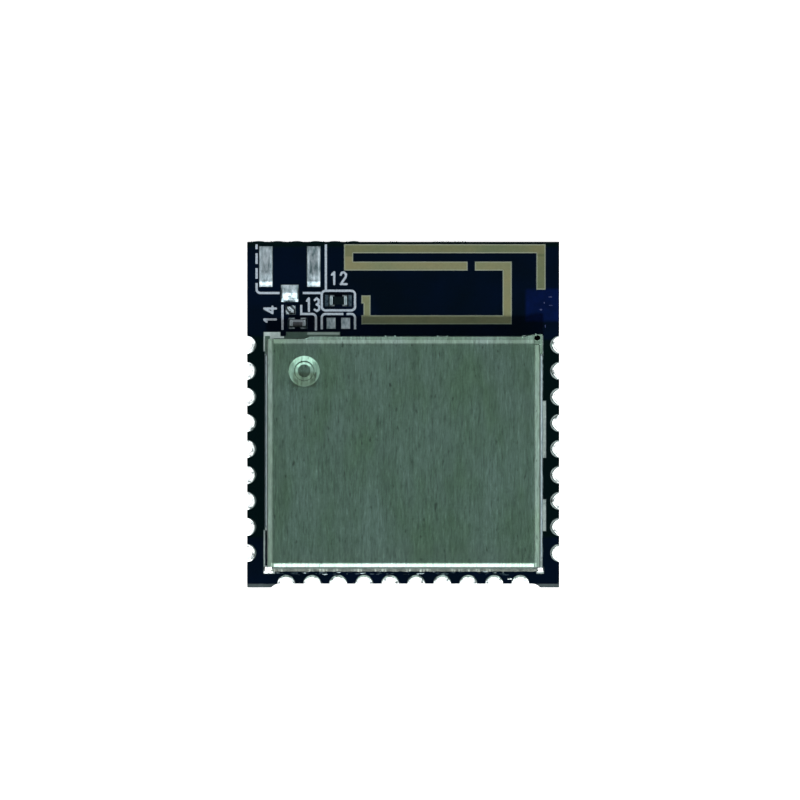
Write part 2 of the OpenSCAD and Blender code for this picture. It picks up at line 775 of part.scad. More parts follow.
module left_prints() {
    y1 = lower_print_y - match_land_w / 2;
    y2 = lower_print_y + test_land_y + test_land_l / 2;
    y3 = can_back_y + end_land + mask_gap + ink_w;
    x1 = left_print_x + test_land_x - test_land_w / 2 - mask_gap - test_line_left;
    x2 = left_print_x + test_land_x + test_land_w / 2 + mask_gap + test_line_right;
    ink_line([[x1, y1], [x1, y2]]);
    ink_line([[x2, y2], [x2, frame_step_y], [part_line_x - ink_r - ink_w / 2, frame_step_y]]);
    ink_corner(part_line_x - ink_r, frame_step_y - ink_r, 0);
    ink_line([[part_line_x, frame_step_y - ink_r - ink_w / 2], [part_line_x, y3]]);
}

module printed_outlines() {
    color(ink_colour) translate([0, 0, mask_z]) linear_extrude(ink_t) {
        socket_print();
        right_prints();
        left_prints();
    }
}

// ---- Shield --------------------------------------------------------------

// Lands that the shield stands on, and their bare ends outside its walls
module shield_footprint(grow = 0) {
    left_out = can_left - side_land;
    right_out = can_right + side_land;
    front_out = can_front_y - end_land;
    back_out = can_back_y + end_land;
    strip = land_strip_x();
    bar(can_left - solder_w, can_front_y, can_left + foot_w, can_back_y, grow);
    bar(can_right - foot_w, can_front_y, can_right + solder_w, can_back_y, grow);
    bar(can_left, can_front_y - solder_w, can_right, can_front_y + foot_w, grow);
    bar(can_left, can_back_y - foot_w, can_right, can_back_y + solder_w, grow);
    corner_bead(grow);
    bar(left_out, can_back_y, left_out + corner_land_l, back_out, grow);
    bar(left_out, back_out - corner_leg_l, can_left, back_out, grow);
    bar(strip, can_back_y, strip + back_land_l, back_out, grow);
    bar(left_out, front_out, can_left, front_out + front_leg_l, grow);
    bar(left_out, front_out, left_out + front_left_l, can_front_y, grow);
    bar(right_out - front_right_l, front_out, right_out, can_front_y, grow);
    bar(can_right, can_back_y - rear_tab_back - rear_tab_l, can_right + tab_land,
        can_back_y - rear_tab_back, grow);
    bar(can_right, can_front_y + front_tab_front, can_right + tab_land,
        can_front_y + front_tab_front + front_tab_l, grow);
}

function land_strip_x() = can_left - side_land + corner_land_l + corner_land_gap;

// Outline of the bead round the open corner
module corner_bead(grow = 0) {
    bar(can_right, can_back_y - bead_l, can_right + bead_w, can_back_y + bead_w, grow);
    bar(can_right - bead_l, can_back_y, can_right + bead_w, can_back_y + bead_w, grow);
}

// Solder run along the foot of a wall, which lies along +X with its outside at -Y
module solder_run(l) {
    translate([0, 0, land_z]) rotate([90, 0, 90]) linear_extrude(l)
        polygon([[0, 0], [-solder_w, 0], [-solder_w * hollow_out, solder_h * hollow_up], [0, solder_h]]);
}

// Solder heaped on a corner land, high at the wall and low at the land's edge
module solder_heap(w) {
    translate([0, 0, land_z]) rotate([90, 0, 90]) linear_extrude(w)
        polygon([[0, 0], [mask_gap - end_land, 0], [mask_gap - end_land, corner_solder_h / 4],
            [-solder_w, corner_solder_h], [0, corner_solder_h]]);
}

module shield_solder() {
    left_from = can_front_y + front_leg_l - end_land;
    left_to = can_back_y + end_land - corner_leg_l;
    color(tin_colour) {
        translate([can_left, left_to]) rotate(-90) solder_run(left_to - left_from);
        translate([can_right, can_front_y + bend_r]) rotate(90) solder_run(can_l - 2 * bend_r);
        translate([can_right - bend_r, can_back_y]) rotate(180)
            solder_run(can_w - back_solder_left - bend_r);
        translate([0, 0, land_z]) linear_extrude(bead_h) corner_bead();
        translate([can_left - side_land + front_left_l, can_front_y])
            solder_run(can_w + 2 * side_land - front_left_l - front_right_l);
        translate([can_left - side_land, can_front_y]) solder_heap(front_left_l);
        translate([can_right + side_land - front_right_l, can_front_y]) solder_heap(front_right_l);
    }
}

// Section of a bent wall: the foot at the origin, the outside face at x = 0,
// and the end of the bend reaching in along the top
module wall_section() {
    translate([0, 0]) square([sheet_t, can_h - bend_r]);
    translate([bend_r, can_h - bend_r]) intersection() {
        difference() {
            circle(r = bend_r);
            circle(r = bend_in_r);
        }
        bar(-bend_r - over, 0, 0, bend_r + over);
    }
}

// Wall along +X with its outside face at -Y
module bent_wall(l) {
    rotate([90, 0, 90]) linear_extrude(l) wall_section();
}

// Pressed dimple: the sheet drawn down in two steps to a flat floor
module dimple() {
    translate([dimple_x, dimple_y, can_h]) rotate_extrude() polygon([
        [0, -dimple_depth], [dimple_floor_r, -dimple_depth],
        [dimple_step_r - dimple_step_w, -dimple_step_depth],
        [dimple_step_r, -dimple_step_depth], [dimple_r, 0], [dimple_r, -sheet_t],
        [dimple_step_r + dimple_under, -dimple_step_depth - sheet_t],
        [dimple_floor_r + 2 * dimple_under, -dimple_depth - sheet_t], [0, -dimple_depth - sheet_t]
    ]);
}

// One sheet, folded down on four sides. The side walls run past the ends of the
// front and back walls, apart from the back right corner, which stands open.
module shield_can() {
    flat_left = can_left + bend_r;
    flat_right = can_right - bend_r;
    flat_front = can_front_y + bend_r;
    flat_back = can_back_y - bend_r;
    side_from = can_front_y + wall_end;
    color(sheet_colour) translate([0, 0, land_z]) {
        translate([0, 0, can_h - sheet_t]) linear_extrude(sheet_t) difference() {
            bar(flat_left, flat_front, flat_right, flat_back);
            translate([dimple_x, dimple_y]) circle(r = dimple_r);
        }
        dimple();
        translate([can_left, can_back_y - wall_end]) rotate(-90) bent_wall(can_l - 2 * wall_end);
        translate([can_right, side_from]) rotate(90)
            bent_wall(flat_back - side_from);
        translate([flat_left + wall_slit, can_front_y])
            bent_wall(flat_right - flat_left - 2 * wall_slit);
        translate([flat_right, can_back_y]) rotate(180)
            bent_wall(flat_right - flat_left - wall_slit);
    }
}

// ---- Lands under the shield ----------------------------------------------

module radio_footprint(grow = 0) {
    row = (radio_side_count - 1) * radio_pitch;
    reach = radio_w / 2 - radio_lead_l / 2;
    pad(radio_pad_w, radio_pad_w, grow);
    for (turn = [0:90:270]) rotate(turn) {
        if (grow > 0) {
            translate([reach, 0]) pad(radio_lead_l, row + radio_lead_w, grow);
        } else {
            for (i = [0:radio_side_count - 1])
                translate([reach, i * radio_pitch - row / 2]) pad(radio_lead_l, radio_lead_w);
        }
    }
}

module memory_footprint(grow = 0) {
    row = (memory_side_count - 1) * memory_pitch;
    for (side = [-1, 1], i = [0:memory_side_count - 1])
        translate([side * (memory_span - memory_foot_l + toe_land) / 2, i * memory_pitch - row / 2])
            pad(memory_foot_l + toe_land, memory_lead_w + toe_land, grow);
}

module crystal_footprint(grow = 0) {
    for (x = [-1, 1], y = [-1, 1])
        translate([x * (crystal_w - crystal_land_w) / 2, y * (crystal_l - crystal_land_l) / 2])
            pad(crystal_land_w, crystal_land_l, grow);
}

module component_footprints(grow = 0) {
    translate([radio_cx, radio_cy]) radio_footprint(grow);
    translate([memory_cx, memory_cy]) memory_footprint(grow);
    translate([crystal_cx, crystal_cy]) crystal_footprint(grow);
    translate([inductor_cx, inductor_cy])
        land_pair(inductor_l - inductor_end_l, inductor_end_l, inductor_w, grow);
    translate([inductor_cx - supply_step, inductor_cy])
        land_pair(supply_l - supply_end_l + toe_land, supply_end_l + toe_land, supply_w, grow);
    for (place = chip_places) put(place)
        land_pair(chip_spread, chip_end_l + toe_land, chip_w, grow);
}

// ---- Radio chip ----------------------------------------------------------

module radio_lead_blocks() {
    row = (radio_side_count - 1) * radio_pitch;
    translate([-radio_pad_w / 2, -radio_pad_w / 2, 0]) cube([radio_pad_w, radio_pad_w, radio_lead_t]);
    for (turn = [0:90:270], i = [0:radio_side_count - 1]) rotate(turn)
        translate([radio_w / 2 - radio_lead_l, i * radio_pitch - row / 2 - radio_lead_w / 2, 0])
            cube([radio_lead_l, radio_lead_w, radio_lead_t]);
}

module radio_chip() {
    mark = radio_w / 2 - radio_lead_l - chip_mark_r;
    color(epoxy_colour) translate([radio_cx, radio_cy, land_z]) difference() {
        translate([-radio_w / 2, -radio_w / 2, 0]) cube([radio_w, radio_w, radio_h]);
        radio_lead_blocks();
        translate([-mark, mark, radio_h - chip_mark_depth])
            cylinder(r = chip_mark_r, h = chip_mark_depth + over);
    }
}

module radio_chip_leads() {
    color(tin_colour) translate([radio_cx, radio_cy, land_z]) radio_lead_blocks();
}

// ---- Memory chip ---------------------------------------------------------

// Section of the moulded body, widest at the parting line where the leads leave
module memory_chip() {
    half = memory_w / 2;
    mid = memory_gap + memory_h / 2;
    top = memory_gap + memory_h;
    mark = half - memory_slope - 2 * chip_mark_r;
    color(epoxy_colour) translate([memory_cx, memory_cy, land_z]) difference() {
        translate([0, memory_l / 2, 0]) rotate([90, 0, 0]) linear_extrude(memory_l) polygon([
            [-half + memory_slope, memory_gap], [half - memory_slope, memory_gap],
            [half, mid - memory_lead_t / 2], [half, mid + memory_lead_t / 2],
            [half - memory_slope, top], [-half + memory_slope, top],
            [-half, mid + memory_lead_t / 2], [-half, mid - memory_lead_t / 2]
        ]);
        translate([-mark, memory_l / 2 - 2 * chip_mark_r, top - chip_mark_depth])
            cylinder(r = chip_mark_r, h = chip_mark_depth + over);
    }
}

// Gull-wing lead in section: out from the parting line, down, and out to its toe
module memory_lead_section() {
    half = memory_w / 2;
    toe = memory_span / 2;
    heel = toe - memory_foot_l;
    knee = half + (heel - half) / 2;
    mid = memory_gap + memory_h / 2;
    t = memory_lead_t;
    polygon([
        [half, mid - t / 2], [knee - t / 2, mid - t / 2], [heel, 0], [toe, 0], [toe, t],
        [heel + t, t], [knee + t / 2, mid + t / 2], [half, mid + t / 2]
    ]);
}

module memory_chip_leads() {
    row = (memory_side_count - 1) * memory_pitch;
    color(tin_colour) translate([memory_cx, memory_cy, land_z])
        for (turn = [0, 180], i = [0:memory_side_count - 1]) rotate(turn)
            translate([0, i * memory_pitch - row / 2 + memory_lead_w / 2, 0]) rotate([90, 0, 0])
                linear_extrude(memory_lead_w) memory_lead_section();
}

// ---- Crystal and power inductor ------------------------------------------

module crystal_base() {
    color(ceramic_colour) translate([crystal_cx - crystal_w / 2, crystal_cy - crystal_l / 2, land_z])
        cube([crystal_w, crystal_l, crystal_base_h]);
}

module crystal_lid() {
    lid_w = crystal_w - 2 * crystal_edge;
    lid_l = crystal_l - 2 * crystal_edge;
    color(tin_colour) translate([crystal_cx - lid_w / 2, crystal_cy - lid_l / 2, land_z + crystal_base_h])
        cube([lid_w, lid_l, crystal_lid_h]);
}

module power_inductor() {
    color(ferrite_colour) translate([inductor_cx, inductor_cy, land_z])
        chip_body(inductor_l, inductor_w, inductor_h, chip_end_t);
}

module power_inductor_ends() {
    color(tin_colour) translate([inductor_cx, inductor_cy, land_z])
        chip_ends(inductor_l, inductor_w, inductor_h, inductor_end_l, chip_end_t);
}

// ---- Drawing -------------------------------------------------------------

board_laminate();
solder_mask_top();
solder_mask_bottom();
printed_outlines();
terminals(left_places);  // terminals_left
terminals(right_places);  // terminals_right
terminals(front_places);  // terminals_front
ground_land();
color(gold_colour) on_top(land_t) outer_arm();  // antenna_outer_arm
color(gold_colour) on_top(land_t) inner_arm();  // antenna_inner_arm
color(tin_colour) on_top(land_t) socket_ground(-1);  // socket_ground_land_left
color(tin_colour) on_top(land_t) socket_ground(1);  // socket_ground_land_right
color(tin_colour) on_top(land_t) socket_signal();  // socket_signal_land
color(tin_colour) on_top(land_t) matching_footprints();  // matching_lands
matching_resistor_body();
matching_resistor_ends();
matching_capacitor_body();
matching_capacitor_ends();
color(tin_colour) on_top(land_t) shield_footprint();  // shield_land
shield_solder();
shield_can();
color(tin_colour) on_top(land_t) component_footprints();  // component_lands
radio_chip();
radio_chip_leads();
memory_chip();
memory_chip_leads();
crystal_base();
crystal_lid();
power_inductor();
power_inductor_ends();
color(ceramic_colour)  // supply_capacitor
    chip_part([inductor_cx - supply_step, inductor_cy, 0], supply_l, supply_w, supply_h, supply_end_l);
for (i = [1:back_row_count])
    color(ceramic_colour)
        chip_part(back_place(i), chip_l, chip_w, capacitor_h, chip_end_l);
for (i = [1:side_column_count])
    color(ceramic_colour)
        chip_part(side_place(i), chip_l, chip_w, capacitor_h, chip_end_l);
for (i = [1:2])
    color(ceramic_colour)
        chip_part(crystal_place(i), chip_l, chip_w, capacitor_h, chip_end_l);
for (i = [1:resistor_count])
    color(epoxy_colour)
        chip_part(resistor_place(i), chip_l, chip_w, resistor_h, chip_end_l);
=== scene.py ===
"""Looks of the radio module: materials, modelled solder and sheet metal, light and camera."""

import json
import math
import random

import bmesh
import bpy
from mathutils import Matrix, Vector, noise


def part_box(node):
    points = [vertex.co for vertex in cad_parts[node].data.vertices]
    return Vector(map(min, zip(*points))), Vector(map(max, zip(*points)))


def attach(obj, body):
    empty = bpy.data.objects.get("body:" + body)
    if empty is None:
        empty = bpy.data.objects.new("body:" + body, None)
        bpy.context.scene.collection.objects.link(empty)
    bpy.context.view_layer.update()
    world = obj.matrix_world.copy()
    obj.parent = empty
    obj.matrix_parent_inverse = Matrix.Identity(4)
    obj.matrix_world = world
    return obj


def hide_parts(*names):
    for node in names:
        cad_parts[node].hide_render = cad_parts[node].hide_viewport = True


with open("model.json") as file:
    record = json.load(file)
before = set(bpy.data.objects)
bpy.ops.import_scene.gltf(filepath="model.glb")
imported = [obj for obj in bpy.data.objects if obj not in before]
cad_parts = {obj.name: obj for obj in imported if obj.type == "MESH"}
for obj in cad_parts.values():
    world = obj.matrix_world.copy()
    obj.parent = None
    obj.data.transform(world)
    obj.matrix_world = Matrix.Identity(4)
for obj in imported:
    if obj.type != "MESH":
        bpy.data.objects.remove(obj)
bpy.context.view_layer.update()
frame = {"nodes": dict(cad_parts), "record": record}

MM = 0.001
TOP_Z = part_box("board_laminate")[1].z
LAND_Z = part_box("shield_land")[1].z
MASK_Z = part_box("solder_mask_top")[1].z
RIGHT = Vector((1, 0, 0))
BACK = Vector((0, 1, 0))
UP = Vector((0, 0, 1))


# ---- Sizes ----

# How far a laid-on piece runs into what it lies on, and which places count as one
LAP = 0.01 * MM
SAME_PLACE = 1e-8

# Shield: the sheet, its bends, and how far the walls end from the corners
SHEET_T = 0.2 * MM
BEND_R = 0.38 * MM
BEND_DROP = 0.19 * MM
WALL_END = 0.04 * MM
# Dimple: its middle from the left and from the back, then its rings from the outside in
DIMPLE_LEFT = 2.14 * MM
DIMPLE_BACK = 1.89 * MM
DIMPLE_R = 0.87 * MM
DIMPLE_STEP_R = 0.6 * MM
DIMPLE_SHELF_R = 0.52 * MM
DIMPLE_FLOOR_R = 0.38 * MM
DIMPLE_STEP_DEPTH = 0.15 * MM
DIMPLE_DEPTH = 0.215 * MM
# Slight hollows of the flat top: depth, size, and the stiffer margin along the bends
BOW = 0.012 * MM
BOW_SIZE = 3.5 * MM
BOW_MARGIN = 2.0 * MM
# Faces of the sheet
BEND_FACES = 6
WALL_PITCH = 0.4 * MM
FLAT_PITCH = 0.3 * MM
DIMPLE_PITCH = 0.032 * MM
DIMPLE_MARGIN = 0.1 * MM

# Solder runs along the side walls; the left one ends short of the front and of the back
RUN_H = 0.1 * MM
LEFT_RUN_W = 0.1 * MM
RIGHT_RUN_W = 0.12 * MM
LEFT_RUN_FRONT = 2.2 * MM
LEFT_RUN_BACK = 0.8 * MM
CREVICE = 0.04 * MM
RUN_TAPER = 0.25 * MM
RUN_PITCH = 0.06 * MM
RUN_FACES = 6
# Solder at the foot of the front wall
FOOT_GAP = 0.08 * MM
FOOT_W = 0.16 * MM
FOOT_H = 0.12 * MM
FOOT_LEFT = 0.2 * MM
FOOT_RIGHT = 0.1 * MM
FOOT_PITCH = 0.05 * MM
# Crumbs: share of the shield's width where they lie, then distances and sizes from least to most
CRUMB_SPAN = (0.03, 0.88)
CRUMB_AWAY = (0.22 * MM, 0.42 * MM)
CRUMB_L = (0.04 * MM, 0.16 * MM)
CRUMB_W = (0.02 * MM, 0.05 * MM)
CRUMB_H = 0.04 * MM
# Solder over the back wall: where it starts, how wide and high it is, and its lap over the shield
BACK_RUN_FROM = 2.15 * MM
BACK_RUN_START = 0.35 * MM
BACK_RUN_W = 0.125 * MM
BACK_RUN_TOP = 2.02 * MM
BACK_RUN_LAP = 0.1 * MM
BACK_RUN_REACH = 0.2 * MM
BACK_RUN_PITCH = 0.03 * MM
RUN_EDGE = 0.025 * MM
# Its flare towards the open corner, and the short run from there down the right wall
FLARE_L = 1.1 * MM
FLARE_RISE = 0.9 * MM
FLARE_W = 0.12 * MM
FLARE_REACH = 0.32 * MM
FLARE_PITCH = 0.025 * MM
CORNER_LAP = BEND_R + 0.02 * MM
CORNER_INSET = 0.14 * MM
SIDE_RUN_W = 0.15 * MM
SIDE_RUN_L = 1.0 * MM
SIDE_RUN_LAP = 0.07 * MM
# Pit at the corner, from the shield's right and back, and the painted shade in it: a dark block
PIT_MIDDLE = (0.175 * MM, 0.02 * MM)
PIT_SIZE = (0.15 * MM, 0.125 * MM)
PIT_SHADE_LEVEL = 0.45
PIT_SHADE_H = 0.05 * MM
PIT_SHADE_ROUND = 0.04 * MM
# Solder on the front corner lands: length and height
LEFT_WEDGE = (0.52 * MM, 0.22 * MM)
RIGHT_WEDGE = (0.4 * MM, 0.2 * MM)
LEFT_WEDGE_LAP = 0.05 * MM
RIGHT_WEDGE_INSET = 0.06 * MM
# Faces of the solder skins, and the height below which they are left out
SKIN_PITCH = 0.04 * MM
BARE = 0.001 * MM

# Terminals: half-holes at the board's edges and the tin round them
PITCH = 1.5 * MM
SIDE_COUNT = 9
FRONT_COUNT = 10
SIDE_FIRST = 2.0 * MM
HOLE_R = 0.3 * MM
RING_W = 0.2 * MM
BEAD_H = 0.045 * MM
BEAD_ROOT = 0.03 * MM
BEAD_TURN = math.radians(9)
BEAD_FACES = 8

# Tin on the bare lands; the test land lies behind the chip capacitor
GROUND_TIN_H = 0.12 * MM
GROUND_TIN_FALL = 0.8
SIGNAL_TIN_H = 0.27 * MM
TEST_TIN_L = 0.54 * MM
TEST_TIN_W = 0.5 * MM
TEST_TIN_H = 0.19 * MM
TEST_LEFT = 0.18 * MM
TEST_BEHIND = 0.28 * MM

# Chip parts beside the antenna
CHIP_L = 1.0 * MM
RESISTOR_TOE = 0.27 * MM
CAPACITOR_TOE = 0.06 * MM
FILLET_H = 0.24 * MM
FILLET_SIDE = 0.07 * MM
FILLET_PITCH = 0.06 * MM
FILLET_FACES = 6
RESISTOR_END_L = 0.18 * MM
RESISTOR_ROUND = 0.04 * MM
CAPACITOR_END_L = 0.27 * MM
CAPACITOR_ROUND = 0.12 * MM
ROUND_FACES = 4

# Print: lines of ink, each sunk a little more so that no two share a top, and the numbers' sizes
INK_T = 0.02 * MM
STROKE_W = 0.125 * MM
STROKE_SUNK = 0.001 * MM
NUMBER_W = 1.15 * MM
NUMBER_H = 0.68 * MM
TALL_NUMBER_W = 1.0 * MM
TALL_NUMBER_H = 0.74 * MM

# Torn glass: stretches of the back edge, in millimetres from the left corner, and their fibres
TORN = [(0.2 + 1.1 * i, 1.1 + 1.1 * i) for i in range(5)] + [(5.7, 6.4), (8.2, 8.65), (10.7, 12.6)]
FIBRE_W = (0.04 * MM, 0.14 * MM)
FIBRE_Z = (0.3 * MM, 0.7 * MM)
FIBRE_REACH = (0.15, 1.0)
FIBRE_SPACING = 1.1
FIBRE_H = 0.12 * MM
FIBRE_ROOT = 0.03 * MM
FIBRE_TIP_UP = 0.05 * MM
FIBRE_TIP = 0.25

# Specks, in millimetres: place from the board's middle, then length and, except for dust, width
DUST = ((5.15, -4.28, 0.06), (1.73, -6.63, 0.09), (0.8, -6.57, 0.06), (-2.9, -8.0, 0.07),
        (-1.86, -5.86, 0.08), (6.05, -5.22, 0.05), (7.3, -7.3, 0.06), (7.32, -7.9, 0.05))
FAINT_MARKS = ((8.49, 6.77, 0.12, 0.03), (8.14, 6.43, 0.04, 0.05), (8.52, 6.28, 0.1, 0.03),
               (7.94, 6.04, 0.1, 0.045), (8.2, 5.08, 0.025, 0.1))
STRAY_SOLDER = (6.14, -9.5, 0.13, 0.05)
DUST_SLIM = 0.6
DUST_H = 0.02 * MM
DUST_SUNK = 0.03 * MM
MARK_H = 0.01 * MM
STRAY_H = 0.05 * MM

# Painted shade: a dark strip in the mask's paint over the land beside the left wall
WALL_SHADE_FROM = 0.1 * MM
WALL_SHADE_TO = 2.14 * MM
WALL_SHADE_W = 0.125 * MM
WALL_SHADE_WAVE = 0.012 * MM
WALL_SHADE_PITCH = 0.1 * MM
WALL_SHADE_THIN = 0.006 * MM
WALL_SHADE_THICK = 0.015 * MM

# Floor, surroundings, lamps and camera
FLOOR_W = 1.2
FLOOR_GLOW = 0.85
WORLD_LIGHT = 0.3
WORLD_SHINE = 0.9
LAMP_DISTANCE = 0.3
FRAME_W = 46.15 * MM
CAMERA_X = -0.183 * MM
CAMERA_Y = 0.823 * MM
LENS = 900.0
SENSOR = 36.0


# ---- Material helpers ----

class Paint:
    """A node material whose patterns are laid out in millimetres of the frame."""

    def __init__(self, name, roughness, metallic=0.0, specular=0.5):
        self.material = bpy.data.materials.new(name)
        self.material.use_nodes = True
        self.nodes = self.material.node_tree.nodes
        self.links = self.material.node_tree.links
        self.shader = self.nodes["Principled BSDF"]
        self.shader.inputs["Metallic"].default_value = metallic
        self.shader.inputs["Roughness"].default_value = roughness
        self.shader.inputs["Specular IOR Level"].default_value = specular
        self.place = self.nodes.new("ShaderNodeTexCoord").outputs["Object"]

    def noise(self, per_mm, detail=3.0, roughness=0.55, shift=0.0):
        """Cloudy pattern with so many cells per millimetre on each axis."""
        scaled = self.nodes.new("ShaderNodeMapping")
        scaled.inputs["Scale"].default_value = [c / MM for c in per_mm]
        self.links.new(self.place, scaled.inputs["Vector"])
        node = self.nodes.new("ShaderNodeTexNoise")
        node.noise_dimensions = "4D"
        node.inputs["W"].default_value = shift
        node.inputs["Scale"].default_value = 1.0
        node.inputs["Detail"].default_value = detail
        node.inputs["Roughness"].default_value = roughness
        self.links.new(scaled.outputs["Vector"], node.inputs["Vector"])
        return node.outputs["Fac"]

    def ramp(self, source, stops):
        """Colour or grey ramp; stops are (place, colour or grey)."""
        node = self.nodes.new("ShaderNodeValToRGB")
        elements = node.color_ramp.elements
        while len(elements) < len(stops):
            elements.new(0.5)
        for element, (place, value) in zip(elements, stops):
            element.position = place
            colour = (value,) * 3 if isinstance(value, (int, float)) else value
            element.color = (*colour, 1.0)
        self.links.new(source, node.inputs["Fac"])
        return node.outputs["Color"]

    def feed(self, socket, value):
        """Gives a socket a colour, a number or another node's output."""
        if isinstance(value, bpy.types.NodeSocket):
            self.links.new(value, socket)
        elif isinstance(value, tuple):
            socket.default_value = (*value, 1.0)
        else:
            socket.default_value = value

    def mix(self, kind, share, a, b):
        node = self.nodes.new("ShaderNodeMix")
        node.data_type = "RGBA"
        node.blend_type = kind
        for socket, value in ((node.inputs["Factor"], share), (node.inputs[6], a), (node.inputs[7], b)):
            self.feed(socket, value)
        return node.outputs[2]

    def over(self, colour, top, mask):
        """One colour laid over another where a mask is 1."""
        return self.mix("MIX", mask, colour, top)

    def times(self, colour, factor, share=1.0):
        """A colour multiplied by another, where a share or mask is 1."""
        return self.mix("MULTIPLY", share, colour, factor)

    def product(self, a, b):
        """Two masks multiplied."""
        node = self.nodes.new("ShaderNodeMath")
        node.operation = "MULTIPLY"
        self.links.new(a, node.inputs[0])
        self.links.new(b, node.inputs[1])
        return node.outputs[0]

    def window(self, x1, x2, y1, y2, soft):
        """Mask that is 1 inside a rectangle of the frame, in millimetres, and fades over soft."""
        split = self.nodes.new("ShaderNodeSeparateXYZ")
        self.links.new(self.place, split.inputs["Vector"])
        inside = None
        for axis, low, high in (("X", x1, x2), ("Y", y1, y2)):
            for start, full in ((low - soft, low), (high + soft, high)):
                edge = self.nodes.new("ShaderNodeMapRange")
                edge.interpolation_type = "SMOOTHSTEP"
                edge.inputs["From Min"].default_value = start * MM
                edge.inputs["From Max"].default_value = full * MM
                self.links.new(split.outputs[axis], edge.inputs["Value"])
                inside = edge.outputs[0] if inside is None else self.product(inside, edge.outputs[0])
        return inside

    def rim(self, width_mm):
        """Mask that is 1 along the edges of a piece and 0 on its flats."""
        bevel = self.nodes.new("ShaderNodeBevel")
        bevel.samples = 8
        bevel.inputs["Radius"].default_value = width_mm * MM
        shape = self.nodes.new("ShaderNodeNewGeometry")
        alike = self.nodes.new("ShaderNodeVectorMath")
        alike.operation = "DOT_PRODUCT"
        self.links.new(bevel.outputs["Normal"], alike.inputs[0])
        self.links.new(shape.outputs["True Normal"], alike.inputs[1])
        return self.ramp(alike.outputs["Value"], [(0.9, 1.0), (0.995, 0.0)])

    def colour(self, value):
        self.feed(self.shader.inputs["Base Color"], value)

    def rough(self, source, low, high):
        self.links.new(self.ramp(source, [(0.25, low), (0.75, high)]), self.shader.inputs["Roughness"])

    def bump(self, source, depth_mm):
        node = self.nodes.new("ShaderNodeBump")
        node.inputs["Distance"].default_value = depth_mm * MM
        self.links.new(source, node.inputs["Height"])
        self.links.new(node.outputs["Normal"], self.shader.inputs["Normal"])


def box_mm(node):
    """Lowest and highest corner of a CAD node, in millimetres."""
    return [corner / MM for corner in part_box(node)]


# ---- Materials ----

def grained_paint(name, per_mm, stops, depth_mm=0.0, detail=3.0, **surface):
    """Paint whose colour, and relief if it has any, follow one fine grain."""
    paint = Paint(name, **surface)
    grain = paint.noise(per_mm, detail=detail)
    paint.colour(paint.ramp(grain, stops))
    if depth_mm:
        paint.bump(grain, depth_mm)
    return paint.material


def solder_paint(name, dull, clean, depth_mm):
    """Reflowed solder, dull and clean in patches, with finer relief."""
    paint = Paint(name, roughness=0.22, metallic=1.0)
    grain = paint.noise((3, 3, 3), detail=4.0)
    paint.colour(paint.ramp(grain, [(0.35, dull), (0.65, clean)]))
    paint.bump(paint.noise((8, 8, 8), detail=4.0), depth_mm)
    return paint.material


def mask_paint():
    """Dark blue solder mask, bluer in a patch by the right edge and greener near the other edges."""
    paint = Paint("solder_mask", roughness=0.35, specular=0.01)
    paint.shader.inputs["Specular Tint"].default_value = (0.25, 0.5, 1.0, 1.0)
    broad = paint.noise((0.35, 0.35, 0.35), detail=2.0)
    colour = paint.ramp(broad, [(0.35, (0.0006, 0.0024, 0.005)), (0.65, (0.0006, 0.003, 0.01))])
    clouds = paint.ramp(paint.noise((1.6, 1.6, 1.6), detail=4.0), [(0.3, 0.45), (0.6, 1.0)])
    low, high = box_mm("board_laminate")
    left, right, back = low.x - 0.1, high.x + 0.1, high.y + 0.1
    patch = paint.window(high.x - 1.8, right, high.y - 4.5, high.y - 2.9, 0.25)
    colour = paint.over(colour, (0.0015, 0.006, 0.042), paint.product(patch, clouds))
    along_back = (left, right, high.y - 0.25, back)
    beside_left = (left, low.x + 1.2, low.y + 3.0, high.y - 5.6)
    beside_right = (high.x - 1.2, right, low.y + 3.0, high.y - 5.8)
    for edges in (along_back, beside_left, beside_right):
        colour = paint.over(colour, (0.0006, 0.0034, 0.0034), paint.window(*edges, 0.2))
    paint.colour(colour)
    paint.bump(paint.noise((6, 6, 6), detail=2.0), 0.002)
    return paint.material


def laminate_paint():
    """Glass laminate, with its layers showing on the board's edges."""
    paint = Paint("glass_laminate", roughness=0.75, specular=0.02)
    layers = paint.noise((1.5, 1.5, 26), detail=2.0)
    paint.colour(paint.ramp(layers, [(0.3, (0.04, 0.055, 0.06)), (0.7, (0.08, 0.105, 0.11))]))
    paint.bump(paint.noise((14, 14, 30)), 0.01)
    return paint.material


def tin_paint():
    """Flat tin with a painted shadow behind the shield, darker by its back left corner and paler in a strip
    behind it.
    """
    paint = Paint("flat_tin", roughness=0.3, metallic=1.0)
    grain = paint.noise((5, 5, 5), detail=4.0, roughness=0.65)
    colour = paint.ramp(grain, [(0.3, (0.125, 0.162, 0.158)), (0.7, (0.21, 0.26, 0.25))])
    low, high = box_mm("shield_can")
    # Painted shadow: the land behind the shield's back wall, where its shadow falls, is painted dark
    can_shadow = paint.window(low.x + 0.99, low.x + 4.24, high.y - 0.08, high.y + 0.52, 0.06)
    beside = paint.window(low.x - 0.11, low.x + 0.14, high.y - 0.88, high.y + 0.12, 0.04)
    strip = paint.window(low.x + 2.34, low.x + 4.14, high.y + 0.24, high.y + 0.32, 0.06)
    colour = paint.over(colour, (0.02, 0.034, 0.028), can_shadow)
    colour = paint.over(colour, (0.03, 0.05, 0.04), beside)
    paint.colour(paint.over(colour, (0.085, 0.115, 0.105), strip))
    paint.rough(grain, 0.26, 0.36)
    paint.bump(paint.noise((8, 8, 8), detail=2.0), 0.002)
    return paint.material


